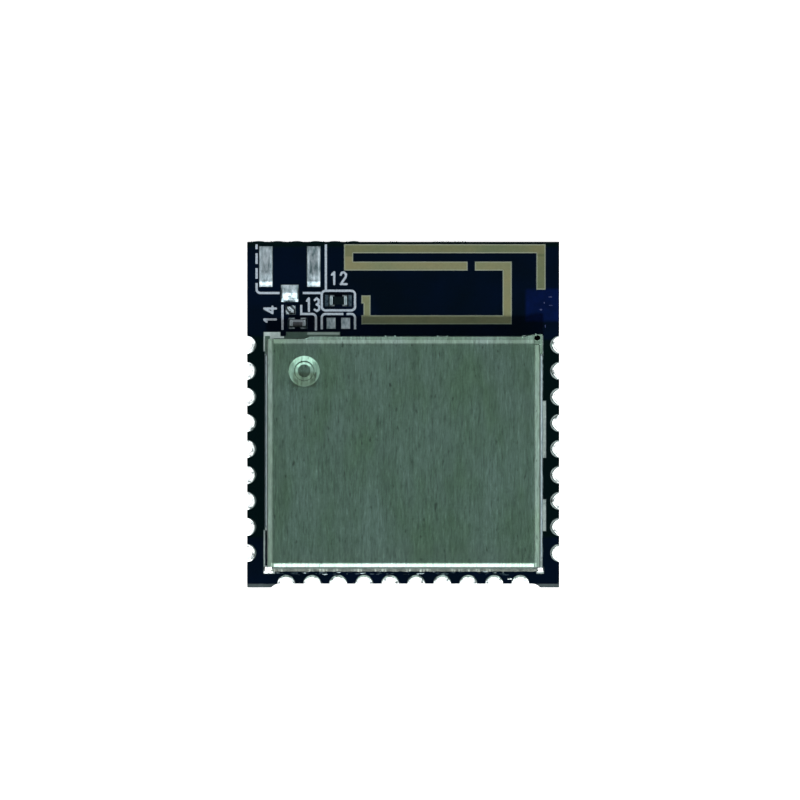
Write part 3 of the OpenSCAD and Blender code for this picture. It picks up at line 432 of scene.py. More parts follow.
def dull_paint():
    """Dull tin of the bare lands, with a painted highlight at the front ends of the socket's three lands."""
    paint = Paint("dull_tin", roughness=0.34, metallic=1.0)
    grain = paint.noise((4, 1.5, 4), detail=4.0, roughness=0.65)
    colour = paint.ramp(grain, [(0.35, (0.027, 0.042, 0.046)), (0.65, (0.122, 0.147, 0.16))])
    # Painted highlight: the front ends of the socket's three lands are lightened
    highlighted_fronts = (("socket_ground_land_left", 0.1, 0.24), ("socket_ground_land_right", 0.1, 0.24),
              ("socket_signal_land", -0.05, 0.455))
    for node, margin, reach in highlighted_fronts:
        low, high = box_mm(node)
        front = paint.window(low.x - margin, high.x + margin, low.y - 0.08, low.y + reach, 0.1)
        colour = paint.times(colour, (2.3, 2.3, 2.3), front)
    paint.colour(colour)
    paint.bump(paint.noise((5, 5, 5), detail=3.0), 0.008)
    return paint.material


def gold_paint():
    """Thin pale gold, darker on the antenna's outer bar and leg, and paler along every edge as a painted
    highlight.
    """
    paint = Paint("pale_gold", roughness=0.6, specular=0.05)
    broad = paint.noise((0.5, 0.5, 0.5), detail=2.0)
    colour = paint.ramp(broad, [(0.3, (0.14, 0.168, 0.092)), (0.7, (0.19, 0.186, 0.096))])
    fine = paint.noise((7, 7, 7), detail=3.0, shift=2.0)
    colour = paint.times(colour, paint.ramp(fine, [(0.3, 0.75), (0.7, 1.0)]), 0.5)
    low, high = box_mm("antenna_outer_arm")
    bar = (low.x - 0.6, high.x + 0.4, high.y - 0.65, high.y + 0.2)
    leg = (high.x - 0.9, high.x + 0.4, low.y - 0.2, high.y - 0.6)
    for edges in (bar, leg):
        colour = paint.times(colour, (0.7, 0.76, 0.72), paint.window(*edges, 0.1))
    # Painted highlight along every edge
    paint.colour(paint.over(colour, (0.25, 0.29, 0.22), paint.rim(0.12)))
    paint.bump(fine, 0.004)
    return paint.material


def sheet_paint(name, lightness):
    """Brushed tinned sheet: streaks along the board's length over soft mottling, with painted shade in front
    of the dimple and a painted highlight on the front bend.
    """
    paint = Paint(name, roughness=0.3, metallic=1.0)
    broad = paint.noise((0.5, 0.22, 0.4), detail=3.0)
    tone = paint.ramp(broad, [(0.34, (0.045, 0.082, 0.058)), (0.5, (0.051, 0.088, 0.07)),
                              (0.66, (0.058, 0.097, 0.082))])
    bands = paint.noise((2.6, 0.12, 1.0), detail=3.0, roughness=0.6, shift=7.0)
    streaks = paint.noise((13.0, 1.1, 4.0), detail=4.0, roughness=0.7, shift=1.0)
    fine = paint.noise((30.0, 3.5, 6.0), detail=3.0, roughness=0.6, shift=4.0)
    strokes = paint.noise((8.5, 1.3, 2.0), detail=4.0, roughness=0.65, shift=9.0)
    dents = paint.noise((4.5, 1.6, 2.0), detail=2.0, shift=12.0)
    layers = (
        (bands, [(0.3, 0.86), (0.7, 1.14)]),
        (streaks, [(0.3, 0.9), (0.7, 1.1)]),
        (fine, [(0.3, 0.88), (0.7, 1.12)]),
        (strokes, [(0.36, 0.7), (0.46, 0.96), (0.56, 1.0), (0.66, 1.3)]),
        (dents, [(0.31, 0.5), (0.35, 1.0)]),
    )
    for pattern, stops in layers:
        tone = paint.times(tone, paint.ramp(pattern, stops))
    tone = paint.times(tone, lightness)
    low, high = box_mm("shield_can")
    x, y = low.x + DIMPLE_LEFT / MM, high.y - DIMPLE_BACK / MM
    # Painted shade on the front slope of the dimple and just in front of it
    dimple_front_shade = paint.window(x - 0.55, x + 0.55, y - 0.79, y - 0.19, 0.25)
    tone = paint.times(tone, (0.58, 0.55, 0.5), dimple_front_shade)
    flat = paint.window(low.x + 0.4, high.x - 0.4, low.y + 0.32, high.y - 0.4, 0.12)
    tone = paint.over(paint.times(tone, (0.98, 0.84, 0.9)), tone, flat)
    # Painted highlight on the front bend
    front_bend_highlight = paint.window(low.x + 0.25, high.x - 0.25, low.y - 1.0, low.y + 0.25, 0.05)
    paint.colour(paint.times(tone, (2.35, 2.3, 2.3), front_bend_highlight))
    paint.rough(streaks, 0.19, 0.27)
    paint.bump(streaks, 0.0004)
    return paint.material


def ceramic_paint():
    """Fired ceramic, with a painted highlight: a lighter line along the back edge of the chip capacitor."""
    paint = Paint("fired_ceramic", roughness=0.3, specular=0.15)
    grain = paint.noise((8, 8, 8), detail=3.0)
    colour = paint.ramp(grain, [(0.3, (0.006, 0.01, 0.013)), (0.7, (0.024, 0.029, 0.035))])
    low, high = box_mm("matching_capacitor_body")
    # Painted highlight along the capacitor's back edge
    line = paint.window(low.x - 0.03, high.x + 0.03, high.y - 0.12, high.y - 0.04, 0.05)
    paint.colour(paint.over(colour, (0.1, 0.125, 0.145), line))
    paint.bump(grain, 0.004)
    return paint.material


# The slots of the record, then finishes for single pieces
PAINTS = {
    "laminate": laminate_paint(),
    "mask": mask_paint(),
    "print": grained_paint("print_ink", (9, 9, 9), [(0.3, (0.1, 0.14, 0.18)), (0.6, (0.21, 0.27, 0.33))],
                           0.006, roughness=0.6),
    "tin": tin_paint(),
    "gold": gold_paint(),
    "solder": solder_paint("reflowed_solder", (0.07, 0.085, 0.075), (0.34, 0.38, 0.35), 0.02),
    "sheet": sheet_paint("steel_sheet", (1.0, 1.0, 1.0)),
    "epoxy": grained_paint("moulded_epoxy", (12, 12, 12),
                           [(0.3, (0.001, 0.004, 0.005)), (0.7, (0.004, 0.009, 0.012))],
                           0.008, roughness=0.55, specular=0.005),
    "ceramic": ceramic_paint(),
    "ferrite": grained_paint("pressed_ferrite", (9, 9, 9),
                             [(0.3, (0.02, 0.019, 0.019)), (0.7, (0.045, 0.042, 0.042))],
                             0.01, detail=4.0, roughness=0.7),

    "bright": grained_paint("clean_solder", (4, 4, 4),
                            [(0.36, (0.05, 0.06, 0.06)), (0.47, (0.3, 0.33, 0.33)), (0.7, (0.46, 0.5, 0.5))],
                            0.008, roughness=0.25, metallic=1.0),
    "dark": grained_paint("dark_solder", (6, 6, 6),
                          [(0.35, (0.002, 0.005, 0.008)), (0.7, (0.015, 0.024, 0.03))],
                          0.006, detail=4.0, roughness=0.4, metallic=1.0),
    "plating": grained_paint("end_plating", (9, 2, 4),
                             [(0.3, (0.055, 0.08, 0.085)), (0.7, (0.12, 0.15, 0.16))],
                             0.004, roughness=0.3, metallic=1.0),
    # Painted shade: a darker copy of the end plating, for the capacitor's ends in the shield's shadow
    "shaded_plating": grained_paint("end_plating_painted_shade", (9, 2, 4),
                          [(0.3, (0.02, 0.028, 0.03)), (0.7, (0.055, 0.065, 0.07))],
                          0.004, roughness=0.3, metallic=1.0),
    "dust": grained_paint("pale_dust", (20, 20, 20), [(0.3, (0.2, 0.3, 0.25)), (0.7, (0.36, 0.45, 0.4))],
                          detail=2.0, roughness=0.8),
    "faint": grained_paint("faint_mark", (12, 12, 12),
                           [(0.3, (0.02, 0.03, 0.09)), (0.7, (0.07, 0.085, 0.17))],
                           roughness=0.9, specular=0.0),
    "dull": dull_paint(),
    "foot": solder_paint("foot_solder", (0.09, 0.11, 0.1), (0.22, 0.25, 0.22), 0.001),
    # Painted highlight: the sheet's paint lightened about 2.3 times, for the solder along the back wall
    "rim": sheet_paint("rim_solder_highlight", (2.3, 2.4, 2.35)),
}
DULL_NODES = ("matching_lands", "socket_ground_land_left", "socket_ground_land_right", "socket_signal_land")


def paint_cad_nodes():
    """Gives every CAD node the paint of its slot in the record, and the bare lands a dull one."""
    slots = {part["node"]: part["material_slot"] for part in frame["record"]["subparts"]}
    for name, piece in frame["nodes"].items():
        piece.data.materials.clear()
        piece.data.materials.append(PAINTS["dull" if name in DULL_NODES else slots[name]])


# ---- Shape helpers ----

def add_piece(name, slot, mesh_code, stands_for=(), crease=35.0, paint=None):
    """Turns finished mesh code into a shown piece that rides on the board."""
    mesh = bpy.data.meshes.new(name)
    bmesh.ops.recalc_face_normals(mesh_code, faces=mesh_code.faces)
    mesh_code.to_mesh(mesh)
    mesh_code.free()
    mesh.shade_smooth()
    mesh.set_sharp_from_angle(angle=math.radians(crease))
    mesh.materials.append(PAINTS[paint or slot])
    piece = bpy.data.objects.new(name, mesh)
    bpy.context.scene.collection.objects.link(piece)
    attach(piece, "root")
    if stands_for:
        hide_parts(*stands_for)


def steps(start, end, pitch):
    """Evenly spaced values from start to end, no further apart than pitch."""
    count = max(1, math.ceil(abs(end - start) / pitch - 1e-6))
    return [start + (end - start) * i / count for i in range(count)] + [end]


def smooth_step(value):
    """Rise from 0 to 1 with soft ends, for a value from 0 to 1."""
    value = min(1.0, max(0.0, value))
    return value * value * (3 - 2 * value)


def rough_at(x, y, size, shift=0.0):
    """Repeatable unevenness between -1 and 1, with lumps about size across."""
    return noise.noise(Vector((x / size, y / size, shift)))


def loft(mesh_code, rings):
    """Closed skin through rings of points, with a face over the first and the last."""
    loops = [[mesh_code.verts.new(point) for point in ring] for ring in rings]
    for first, second in zip(loops, loops[1:]):
        count = len(first)
        for i in range(count):
            j = (i + 1) % count
            mesh_code.faces.new((first[i], first[j], second[j], second[i]))
    mesh_code.faces.new(loops[0])
    mesh_code.faces.new(loops[-1])


def skin(mesh_code, x1, x2, y1, y2, height, pitch):
    """Skin over a rectangle, height(x, y) above the lands, left out where that is nothing."""
    grid = []
    for y in steps(y1, y2, pitch):
        grid.append([mesh_code.verts.new((x, y, LAND_Z + height(x, y))) for x in steps(x1, x2, pitch)])
    for first, second in zip(grid, grid[1:]):
        for i in range(len(first) - 1):
            face = (first[i], first[i + 1], second[i + 1], second[i])
            if max(vert.co.z for vert in face) > LAND_Z + BARE:
                mesh_code.faces.new(face)
    alone = [vert for vert in mesh_code.verts if not vert.link_faces]
    bmesh.ops.delete(mesh_code, geom=alone, context="VERTS")


def relief(mesh_code, x1, x2, y1, y2, height, rise, shift):
    """Uneven skin over a rectangle; rise(across, along) is the share of its height, each from 0 to 1."""

    def uneven(x, y):
        share = rise((x - x1) / (x2 - x1), (y - y1) / (y2 - y1))
        return height * share * (1 + 0.2 * rough_at(x, y, 0.3 * MM, shift))

    skin(mesh_code, x1, x2, y1, y2, uneven, SKIN_PITCH)


def lump(mesh_code, place, size, shift):
    """Small irregular blob, flat underneath."""
    ball = bmesh.ops.create_icosphere(mesh_code, subdivisions=2, radius=1.0)
    for vert in ball["verts"]:
        way = vert.co.copy()
        swell = 1 + 0.4 * noise.noise(way * 1.7 + Vector((shift, 0, 0)))
        vert.co = place + swell * Vector((way.x * size[0], way.y * size[1], max(0.0, way.z) * size[2]))


def round_block(mesh_code, low, high, radius):
    """Box with rounded edges, from one corner to the opposite one."""
    made = bmesh.ops.create_cube(mesh_code, size=1.0)
    for vert in made["verts"]:
        vert.co = Vector([low[k] + (vert.co[k] + 0.5) * (high[k] - low[k]) for k in range(3)])
    edges = {edge for vert in made["verts"] for edge in vert.link_edges}
    bmesh.ops.bevel(mesh_code, geom=list(edges), offset=radius, segments=ROUND_FACES, profile=0.5,
                    affect="EDGES")


# ---- Shield: one sheet, folded down on four sides, with a pressed dimple ----

def fold(distance):
    """Way in from the wall's outer face and drop, for a distance past the flat top's edge."""
    arc = BEND_R * math.pi / 2
    if distance >= arc:
        return 0.0, BEND_DROP + distance - arc
    angle = distance / BEND_R
    return BEND_R * (1 - math.sin(angle)), BEND_DROP * (1 - math.cos(angle))


def blank_lines(low, high, wall_h, fine):
    """Grid lines across the unfolded sheet; each is (place, past) with the distance past the flat."""
    arc = BEND_R * math.pi / 2
    flat_low, flat_high = low + BEND_R, high - BEND_R
    flap = steps(0, arc, BEND_R / BEND_FACES)[1:] + steps(arc, arc + wall_h - BEND_DROP, WALL_PITCH)[1:]
    flat = steps(flat_low, fine[0], FLAT_PITCH) + steps(fine[0], fine[1], DIMPLE_PITCH)[1:]
    flat += steps(fine[1], flat_high, FLAT_PITCH)[1:]
    return ([(flat_low - d, d) for d in reversed(flap)] + [(place, 0.0) for place in flat]
            + [(flat_high + d, d) for d in flap])


def dimple_drop(x, y, middle):
    """Depth of the dimple at a place: a slope, a narrow step and a flat floor."""
    r = math.hypot(x - middle[0], y - middle[1])
    slope = min(1.0, max(0.0, (DIMPLE_R - r) / (DIMPLE_R - DIMPLE_STEP_R))) * DIMPLE_STEP_DEPTH
    inner = min(1.0, max(0.0, (DIMPLE_SHELF_R - r) / (DIMPLE_SHELF_R - DIMPLE_FLOOR_R)))
    return slope + inner * (DIMPLE_DEPTH - DIMPLE_STEP_DEPTH)


def straight_on(mesh_code, vert, y):
    """The point past a side wall's end, level with one of its points."""
    for edge in vert.link_edges:
        other = edge.other_vert(vert).co
        level = abs(other.x - vert.co.x) + abs(other.z - vert.co.z) < SAME_PLACE
        if level and abs(other.y - y) < SAME_PLACE:
            return edge.other_vert(vert)
    return mesh_code.verts.new((vert.co.x, y, vert.co.z))


def thicken(mesh_code, thickness):
    """Gives a sheet its thickness, inwards from the outer face."""
    bmesh.ops.recalc_face_normals(mesh_code, faces=mesh_code.faces)
    upward = max(mesh_code.faces, key=lambda face: face.calc_center_median().z)
    if upward.normal.z < 0:
        bmesh.ops.reverse_faces(mesh_code, faces=mesh_code.faces)
    bmesh.ops.solidify(mesh_code, geom=mesh_code.faces[:], thickness=thickness)


def make_shield():
    """Folds the blank; three corners close and the back right one stays open under its solder."""
    low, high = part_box("shield_can")
    wall_h = high.z - low.z
    middle = (low.x + DIMPLE_LEFT, high.y - DIMPLE_BACK)
    reach = DIMPLE_R + DIMPLE_MARGIN
    lines_x = blank_lines(low.x, high.x, wall_h, (middle[0] - reach, middle[0] + reach))
    lines_y = blank_lines(low.y, high.y, wall_h, (middle[1] - reach, middle[1] + reach))
    left, right, front, back = low.x + BEND_R, high.x - BEND_R, low.y + BEND_R, high.y - BEND_R

    def folded(x, y):
        in_x = max(left - x, x - right)
        in_y = max(front - y, y - back)
        drop = 0.0
        if in_x > 0:
            inward, drop = fold(in_x)
            x = low.x + inward if x < left else high.x - inward
        elif in_y > 0:
            inward, drop = fold(in_y)
            y = low.y + inward if y < front else high.y - inward
        edge = smooth_step(min(-in_x, -in_y) / BOW_MARGIN) if max(in_x, in_y) < 0 else 0.0
        bow = -abs(rough_at(x, y, BOW_SIZE)) * BOW * edge
        return Vector((x, y, high.z - drop - dimple_drop(x, y, middle) + bow))

    mesh_code = bmesh.new()
    verts = {}

    def corner(x, y):
        if (x, y) not in verts:
            verts[x, y] = mesh_code.verts.new(folded(x, y))
        return verts[x, y]

    for (x1, past_x1), (x2, past_x2) in zip(lines_x, lines_x[1:]):
        for (y1, past_y1), (y2, past_y2) in zip(lines_y, lines_y[1:]):
            if max(past_x1, past_x2) > 0 and max(past_y1, past_y2) > 0:
                continue
            mesh_code.faces.new((corner(x1, y1), corner(x2, y1), corner(x2, y2), corner(x1, y2)))
    # Side walls run on past their bends: both to the front corners, the left one to the back corner
    for start, end, right_from in ((front, low.y + WALL_END, right), (back, high.y - WALL_END, math.inf)):
        for (x1, past_x1), (x2, past_x2) in zip(lines_x, lines_x[1:]):
            if max(past_x1, past_x2) > 0 and (x2 <= left or x1 >= right_from):
                far = [straight_on(mesh_code, corner(x, start), end) for x in (x2, x1)]
                mesh_code.faces.new((corner(x1, start), corner(x2, start), *far))
    thicken(mesh_code, SHEET_T)
    add_piece("shield_sheet", "sheet", mesh_code, ["shield_can"], crease=40)


# ---- Solder round the shield ----

def side_run(mesh_code, start, out, length, width, shift):
    """Steep, uneven run of solder along the foot of a side wall, with a crevice behind it."""
    rings = []
    for distance in steps(0, length, RUN_PITCH):
        foot = start + BACK * distance
        uneven = rough_at(distance, shift * MM, 0.6 * MM, shift)
        finer = rough_at(distance, shift * MM, 0.17 * MM, shift + 5)
        taper = 0.2 + 0.8 * smooth_step(min(distance, length - distance) / RUN_TAPER)
        w = width * taper * (1 + 0.3 * uneven + 0.15 * finer)
        h = RUN_H * taper * (1 + 0.35 * uneven)
        section = [(CREVICE * taper, 0.0)]
        for i in range(RUN_FACES + 1):
            share = i / RUN_FACES
            section.append((CREVICE * taper + w * share, h * (1 - share ** 1.3)))
        rings.append([foot + out * across + UP * up for across, up in section])
    loft(mesh_code, rings)


def make_side_runs():
    low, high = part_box("shield_can")
    depth = high.y - low.y
    left = Vector((low.x, low.y + LEFT_RUN_FRONT, LAND_Z))
    right = Vector((high.x, low.y + BEND_R, LAND_Z))
    mesh_code = bmesh.new()
    side_run(mesh_code, left, -RIGHT, depth - LEFT_RUN_FRONT - LEFT_RUN_BACK, LEFT_RUN_W, 0.0)
    side_run(mesh_code, right, RIGHT, depth - 2 * BEND_R, RIGHT_RUN_W, 1.7)
    add_piece("shield_fillet", "solder", mesh_code, ["shield_solder"], crease=60, paint="plating")


def make_front_foot():
    """Flat-topped solder along the foot of the front wall."""
    low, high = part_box("shield_can")
    back = low.y - FOOT_GAP
    rings = []
    for x in steps(low.x + FOOT_LEFT, high.x - FOOT_RIGHT, FOOT_PITCH):
        front = back - FOOT_W - 0.03 * MM * rough_at(x, 0, 0.3 * MM)
        top = LAND_Z + FOOT_H + 0.02 * MM * rough_at(x, 0, 0.2 * MM, 4.0)
        section = ((front, LAND_Z), (back, LAND_Z), (back, top), (front, top))
        rings.append([Vector((x, y, z)) for y, z in section])
    mesh_code = bmesh.new()
    loft(mesh_code, rings)
    add_piece("front_foot", "solder", mesh_code, paint="foot")


def make_crumbs():
    """Crumbs of solder and burnt flux on the land in front of the shield."""
    low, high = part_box("shield_can")
    chance = random.Random(11)
    for name, count, paint in (("foot_crumbs_dark", 60, "dark"), ("foot_crumbs", 16, "plating")):
        mesh_code = bmesh.new()
        for number in range(count):
            x = low.x + chance.uniform(*CRUMB_SPAN) * (high.x - low.x)
            y = low.y - chance.uniform(*CRUMB_AWAY)
            size = (chance.uniform(*CRUMB_L), chance.uniform(*CRUMB_W), CRUMB_H)
            lump(mesh_code, Vector((x, y, LAND_Z - LAP)), size, float(number))
        add_piece(name, "solder", mesh_code, paint=paint)


def make_back_solder():
    """Smooth solder that covers the back wall and the open corner, with a pit left at the corner."""
    low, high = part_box("shield_can")
    flare = high.x - FLARE_L
    right = high.x + SIDE_RUN_W

    def height(x, y):
        start = smooth_step((x - low.x - BACK_RUN_FROM) / BACK_RUN_START)
        back = high.y + start * (BACK_RUN_W + 0.02 * MM * rough_at(x, 0, 1.5 * MM))
        back += FLARE_W * smooth_step((x - flare) / FLARE_RISE)
        along_wall = min(y - high.y + BACK_RUN_LAP, back - y, right - x)
        in_corner = min(x - high.x + BEND_R, y - high.y + CORNER_LAP, right - CORNER_INSET - x, back - y)
        down_side = min(x - high.x + SIDE_RUN_LAP, right - x, back - y, (y - high.y + SIDE_RUN_L) / 4)
        inside = max(along_wall, in_corner, down_side)
        u = (x - high.x + PIT_MIDDLE[0]) / PIT_SIZE[0]
        v = (y - high.y - PIT_MIDDLE[1]) / PIT_SIZE[1]
        pit = smooth_step((math.hypot(u, v) - 0.75) / 0.4)
        return BACK_RUN_TOP * smooth_step(inside / RUN_EDGE) * (0.4 + 0.6 * pit) if inside > 0 else 0.0

    margin = 0.05 * MM
    mesh_code = bmesh.new()
    skin(mesh_code, low.x + BACK_RUN_FROM - margin, flare,
         high.y - BACK_RUN_LAP - LAP, high.y + BACK_RUN_REACH, height, BACK_RUN_PITCH)
    skin(mesh_code, flare, right + margin,
         high.y - SIDE_RUN_L - 2 * margin, high.y + FLARE_REACH, height, FLARE_PITCH)
    # Its paint is the lightened sheet paint, a painted highlight
    add_piece("back_solder", "solder", mesh_code, crease=60, paint="rim")


def make_corner_pit_shade():
    """Painted shade: a dark block that fills the pit to halfway."""
    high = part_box("shield_can")[1]
    middle = Vector((high.x - PIT_MIDDLE[0], high.y + PIT_MIDDLE[1], LAND_Z + PIT_SHADE_LEVEL * BACK_RUN_TOP))
    reach = Vector((*PIT_SIZE, PIT_SHADE_H))
    mesh_code = bmesh.new()
    round_block(mesh_code, middle - reach, middle + reach, PIT_SHADE_ROUND)
    add_piece("corner_pit_shade", "solder", mesh_code, paint="epoxy")


def wedge(across, along):
    """Slope that falls to the front from the shield's wall."""
    sides = smooth_step(min(across, 1 - across) / 0.16)
    return (0.12 + 0.88 * along) * sides * smooth_step((1 - along) / 0.1 + 0.3)


def make_corner_solder():
    """Bright solder on the two front corner lands."""
    low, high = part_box("shield_solder")
    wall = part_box("shield_can")[0].y
    mesh_code = bmesh.new()
    length, height = LEFT_WEDGE
    relief(mesh_code, low.x, low.x + length, low.y, wall + LEFT_WEDGE_LAP, height, wedge, 3.0)
    length, height = RIGHT_WEDGE
    relief(mesh_code, high.x - length, high.x, low.y + RIGHT_WEDGE_INSET, wall, height, wedge, 7.0)
    add_piece("corner_solder", "solder", mesh_code, crease=60, paint="bright")


# ---- Tin on the terminals and on the bare lands ----

def half_bead(mesh_code, middle, facing, ragged, shift):
    """Domed half ring of tin round a half-hole, open towards the board's edge."""
    rings = []
    for turn in steps(-math.pi / 2, math.pi / 2, BEAD_TURN):
        width = RING_W * (1 - ragged * abs(math.sin(2 * turn)))
        width *= 1 + 0.08 * rough_at(turn, shift, 0.6, shift)
        way = Vector((math.cos(turn + facing), math.sin(turn + facing), 0))
        ring = [middle + way * (HOLE_R - LAP) - UP * BEAD_ROOT]
        for i in range(BEAD_FACES + 1):
            share = i / BEAD_FACES
            up = BEAD_H * math.sin(math.pi * share) ** 0.7 if 0 < share < 1 else 0.0
            ring.append(middle + way * (HOLE_R + width * share) + UP * up)
        ring.append(middle + way * (HOLE_R + width) - UP * BEAD_ROOT)
        rings.append(ring)
    loft(mesh_code, rings)


def make_beads():
    """One piece of tin per row of terminals."""
    board_low, board_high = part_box("board_laminate")
    mill_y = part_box("solder_mask_top")[0].y
    side = [board_low.y + SIDE_FIRST + i * PITCH for i in range(SIDE_COUNT)]
    front = [(i - (FRONT_COUNT - 1) / 2) * PITCH for i in range(FRONT_COUNT)]
    rows = {
        "left": ([(board_low.x, y) for y in side], 0.0, 0.0),
        "right": ([(board_high.x, y) for y in side], math.pi, 0.3),
        "front": ([(x, mill_y) for x in front], math.pi / 2, 0.0),
    }
    for name, (places, facing, ragged) in rows.items():
        mesh_code = bmesh.new()
        for number, (x, y) in enumerate(places):
            half_bead(mesh_code, Vector((x, y, LAND_Z)), facing, ragged, float(number))
        add_piece(f"terminal_tin_{name}", "tin", mesh_code, paint="bright")


def puddle(shift):
    """Dome that is highest along the front end of a land, with an uneven crest."""

    def rise(across, along):
        dome = smooth_step(min(across, 1 - across) / 0.2) * smooth_step(min(along, 1 - along) / 0.2)
        line = along + 0.1 * rough_at(across, shift, 0.25, shift)
        return dome * (1 - GROUND_TIN_FALL * smooth_step(line / 0.35))

    return rise


def heap(across, along):
    """Pointed heap on a thin film, in the middle of a land."""
    film = smooth_step(min(across, 1 - across, along, 1 - along) / 0.06)
    away = math.hypot(0.65 * (across - 0.48), along - 0.48)
    return film * (0.08 + 0.92 * max(0.0, 1 - away / 0.5))


def drag(across, along):
    """Solder drawn out from the back left to the front right of a land."""
    edge = smooth_step(min(across, 1 - across, along, 1 - along) / 0.15)
    return edge * smooth_step(1.2 - 1.6 * abs(across + along - 1.05))


def make_land_tin():
    """Tin on the socket's three lands and on the small test land."""
    for name, shift in (("socket_ground_land_left", 23.0), ("socket_ground_land_right", 24.0)):
        low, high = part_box(name)
        mesh_code = bmesh.new()
        relief(mesh_code, low.x, high.x, low.y, high.y, GROUND_TIN_H, puddle(shift), shift)
        add_piece(f"{name}_tin", "tin", mesh_code, crease=60, paint="dull")
    low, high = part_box("socket_signal_land")
    mesh_code = bmesh.new()
    relief(mesh_code, low.x, high.x, low.y, high.y, SIGNAL_TIN_H, heap, 18.0)
    add_piece("socket_signal_land_tin", "tin", mesh_code, crease=60, paint="dull")
    chip_low, chip_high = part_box("matching_capacitor_ends")
    x, y = chip_low.x - TEST_LEFT, chip_high.y + TEST_BEHIND
    mesh_code = bmesh.new()
    relief(mesh_code, x, x + TEST_TIN_L, y, y + TEST_TIN_W, TEST_TIN_H, drag, 5.0)
    add_piece("test_land_tin", "tin", mesh_code, crease=60, paint="dull")


# ---- Chip parts beside the antenna ----

def end_fillet(mesh_code, end, side, toe, y1, y2):
    """Hollow fillet that climbs one end of a chip part; side is -1 at its left and 1 at its right."""
    section = []
    for i in range(FILLET_FACES + 1):
        turn = math.pi / 2 * i / FILLET_FACES
        section.append((end + side * toe * (1 - math.cos(turn)), LAND_Z + FILLET_H * (1 - math.sin(turn))))
    section.append((end - side * LAP, LAND_Z))
    loft(mesh_code, [[Vector((x, y, z)) for x, z in section] for y in steps(y1, y2, FILLET_PITCH)])


def make_chip_solder():
    """Dark fillets at the ends of the two chip parts."""
    mesh_code = bmesh.new()
    for name, toe in (("matching_resistor_ends", RESISTOR_TOE), ("matching_capacitor_ends", CAPACITOR_TOE)):
        low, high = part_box(name)
        middle = (low.x + high.x) / 2
        for side in (-1, 1):
            end = middle + side * CHIP_L / 2
            end_fillet(mesh_code, end, side, toe, low.y - FILLET_SIDE, high.y + FILLET_SIDE)
    add_piece("chip_fillets", "solder", mesh_code, paint="dark")


def make_chip_ends():
    """Rounded end platings of the two chip parts, and the capacitor's rounded body."""
    for name, end_l, radius, paint in (
        ("matching_resistor", RESISTOR_END_L, RESISTOR_ROUND, "plating"),
        # The capacitor's ends take the darker plating, as painted shade
        ("matching_capacitor", CAPACITOR_END_L, CAPACITOR_ROUND, "shaded_plating"),
    ):
        low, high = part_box(f"{name}_ends")
        mesh_code = bmesh.new()
        round_block(mesh_code, low, (low.x + end_l, high.y, high.z), radius)
        round_block(mesh_code, (high.x - end_l, low.y, low.z), high, radius)
        add_piece(f"{name}_ends_round", "tin", mesh_code, [f"{name}_ends"], paint=paint)
    low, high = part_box("matching_capacitor_body")
    mesh_code = bmesh.new()
    round_block(mesh_code, low, high, CAPACITOR_ROUND)
    add_piece("matching_capacitor_body_round", "ceramic", mesh_code, ["matching_capacitor_body"])


# ---- Print: plain numbers made of straight lines of ink ----

# Corners of each digit's line, as shares of its width and height
STROKES = {
    "1": [(0.25, 0.8), (0.55, 1.0), (0.55, 0.0)],
    "2": [(0.1, 0.78), (0.22, 0.96), (0.5, 1.0), (0.8, 0.84), (0.72, 0.56), (0.1, 0.0), (0.88, 0.0)],
    "3": [(0.12, 0.86), (0.4, 1.0), (0.76, 0.86), (0.7, 0.6), (0.4, 0.52), (0.8, 0.4), (0.8, 0.14),
          (0.45, 0.0), (0.1, 0.12)],
    "4": [(0.68, 0.0), (0.68, 1.0), (0.08, 0.3), (0.92, 0.3)],
}


def stroke(mesh_code, start, end, sunk):
    """Flat line of ink with round ends."""
    way = (end - start).angle_signed(Vector((1, 0)))
    outline = []
    for middle, first in ((end, -90), (start, 90)):
        for turn in range(first, first + 181, 30):
            angle = way + math.radians(turn)
            outline.append(middle + Vector((math.cos(angle), math.sin(angle))) * STROKE_W / 2)
    loft(mesh_code, [[Vector((p.x, p.y, z)) for p in outline] for z in (MASK_Z, MASK_Z + INK_T - sunk)])


def print_number(mesh_code, text, x, y, width, height, along=(1, 0)):
    """Plain number from its lower left corner, running along a direction."""
    corner = Vector((x, y))
    across, up = Vector(along), Vector((-along[1], along[0]))
    cell = width / len(text)
    for place, digit in enumerate(text):
        points = [corner + across * (place + 0.12 + 0.76 * u) * cell + up * v * height
                  for u, v in STROKES[digit]]
        for order, (start, end) in enumerate(zip(points, points[1:])):
            stroke(mesh_code, start, end, order * STROKE_SUNK)


def make_numbers():
    """Numbers beside the two chip parts, the last one turned a quarter to the left."""
    low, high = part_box("matching_resistor_ends")
    mesh_code = bmesh.new()
    print_number(mesh_code, "12", low.x - 0.05 * MM, high.y + 0.7 * MM, NUMBER_W, NUMBER_H)
    low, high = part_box("matching_capacitor_ends")
    print_number(mesh_code, "13", high.x - 0.12 * MM, high.y + 0.45 * MM, TALL_NUMBER_W, TALL_NUMBER_H)
    print_number(mesh_code, "14", low.x - 0.75 * MM, low.y + 0.16 * MM, NUMBER_W, NUMBER_H, along=(0, 1))
    add_piece("printed_numbers", "print", mesh_code)


# ---- Traces of making: torn glass, stray solder and dust; and painted shade by the left wall ----

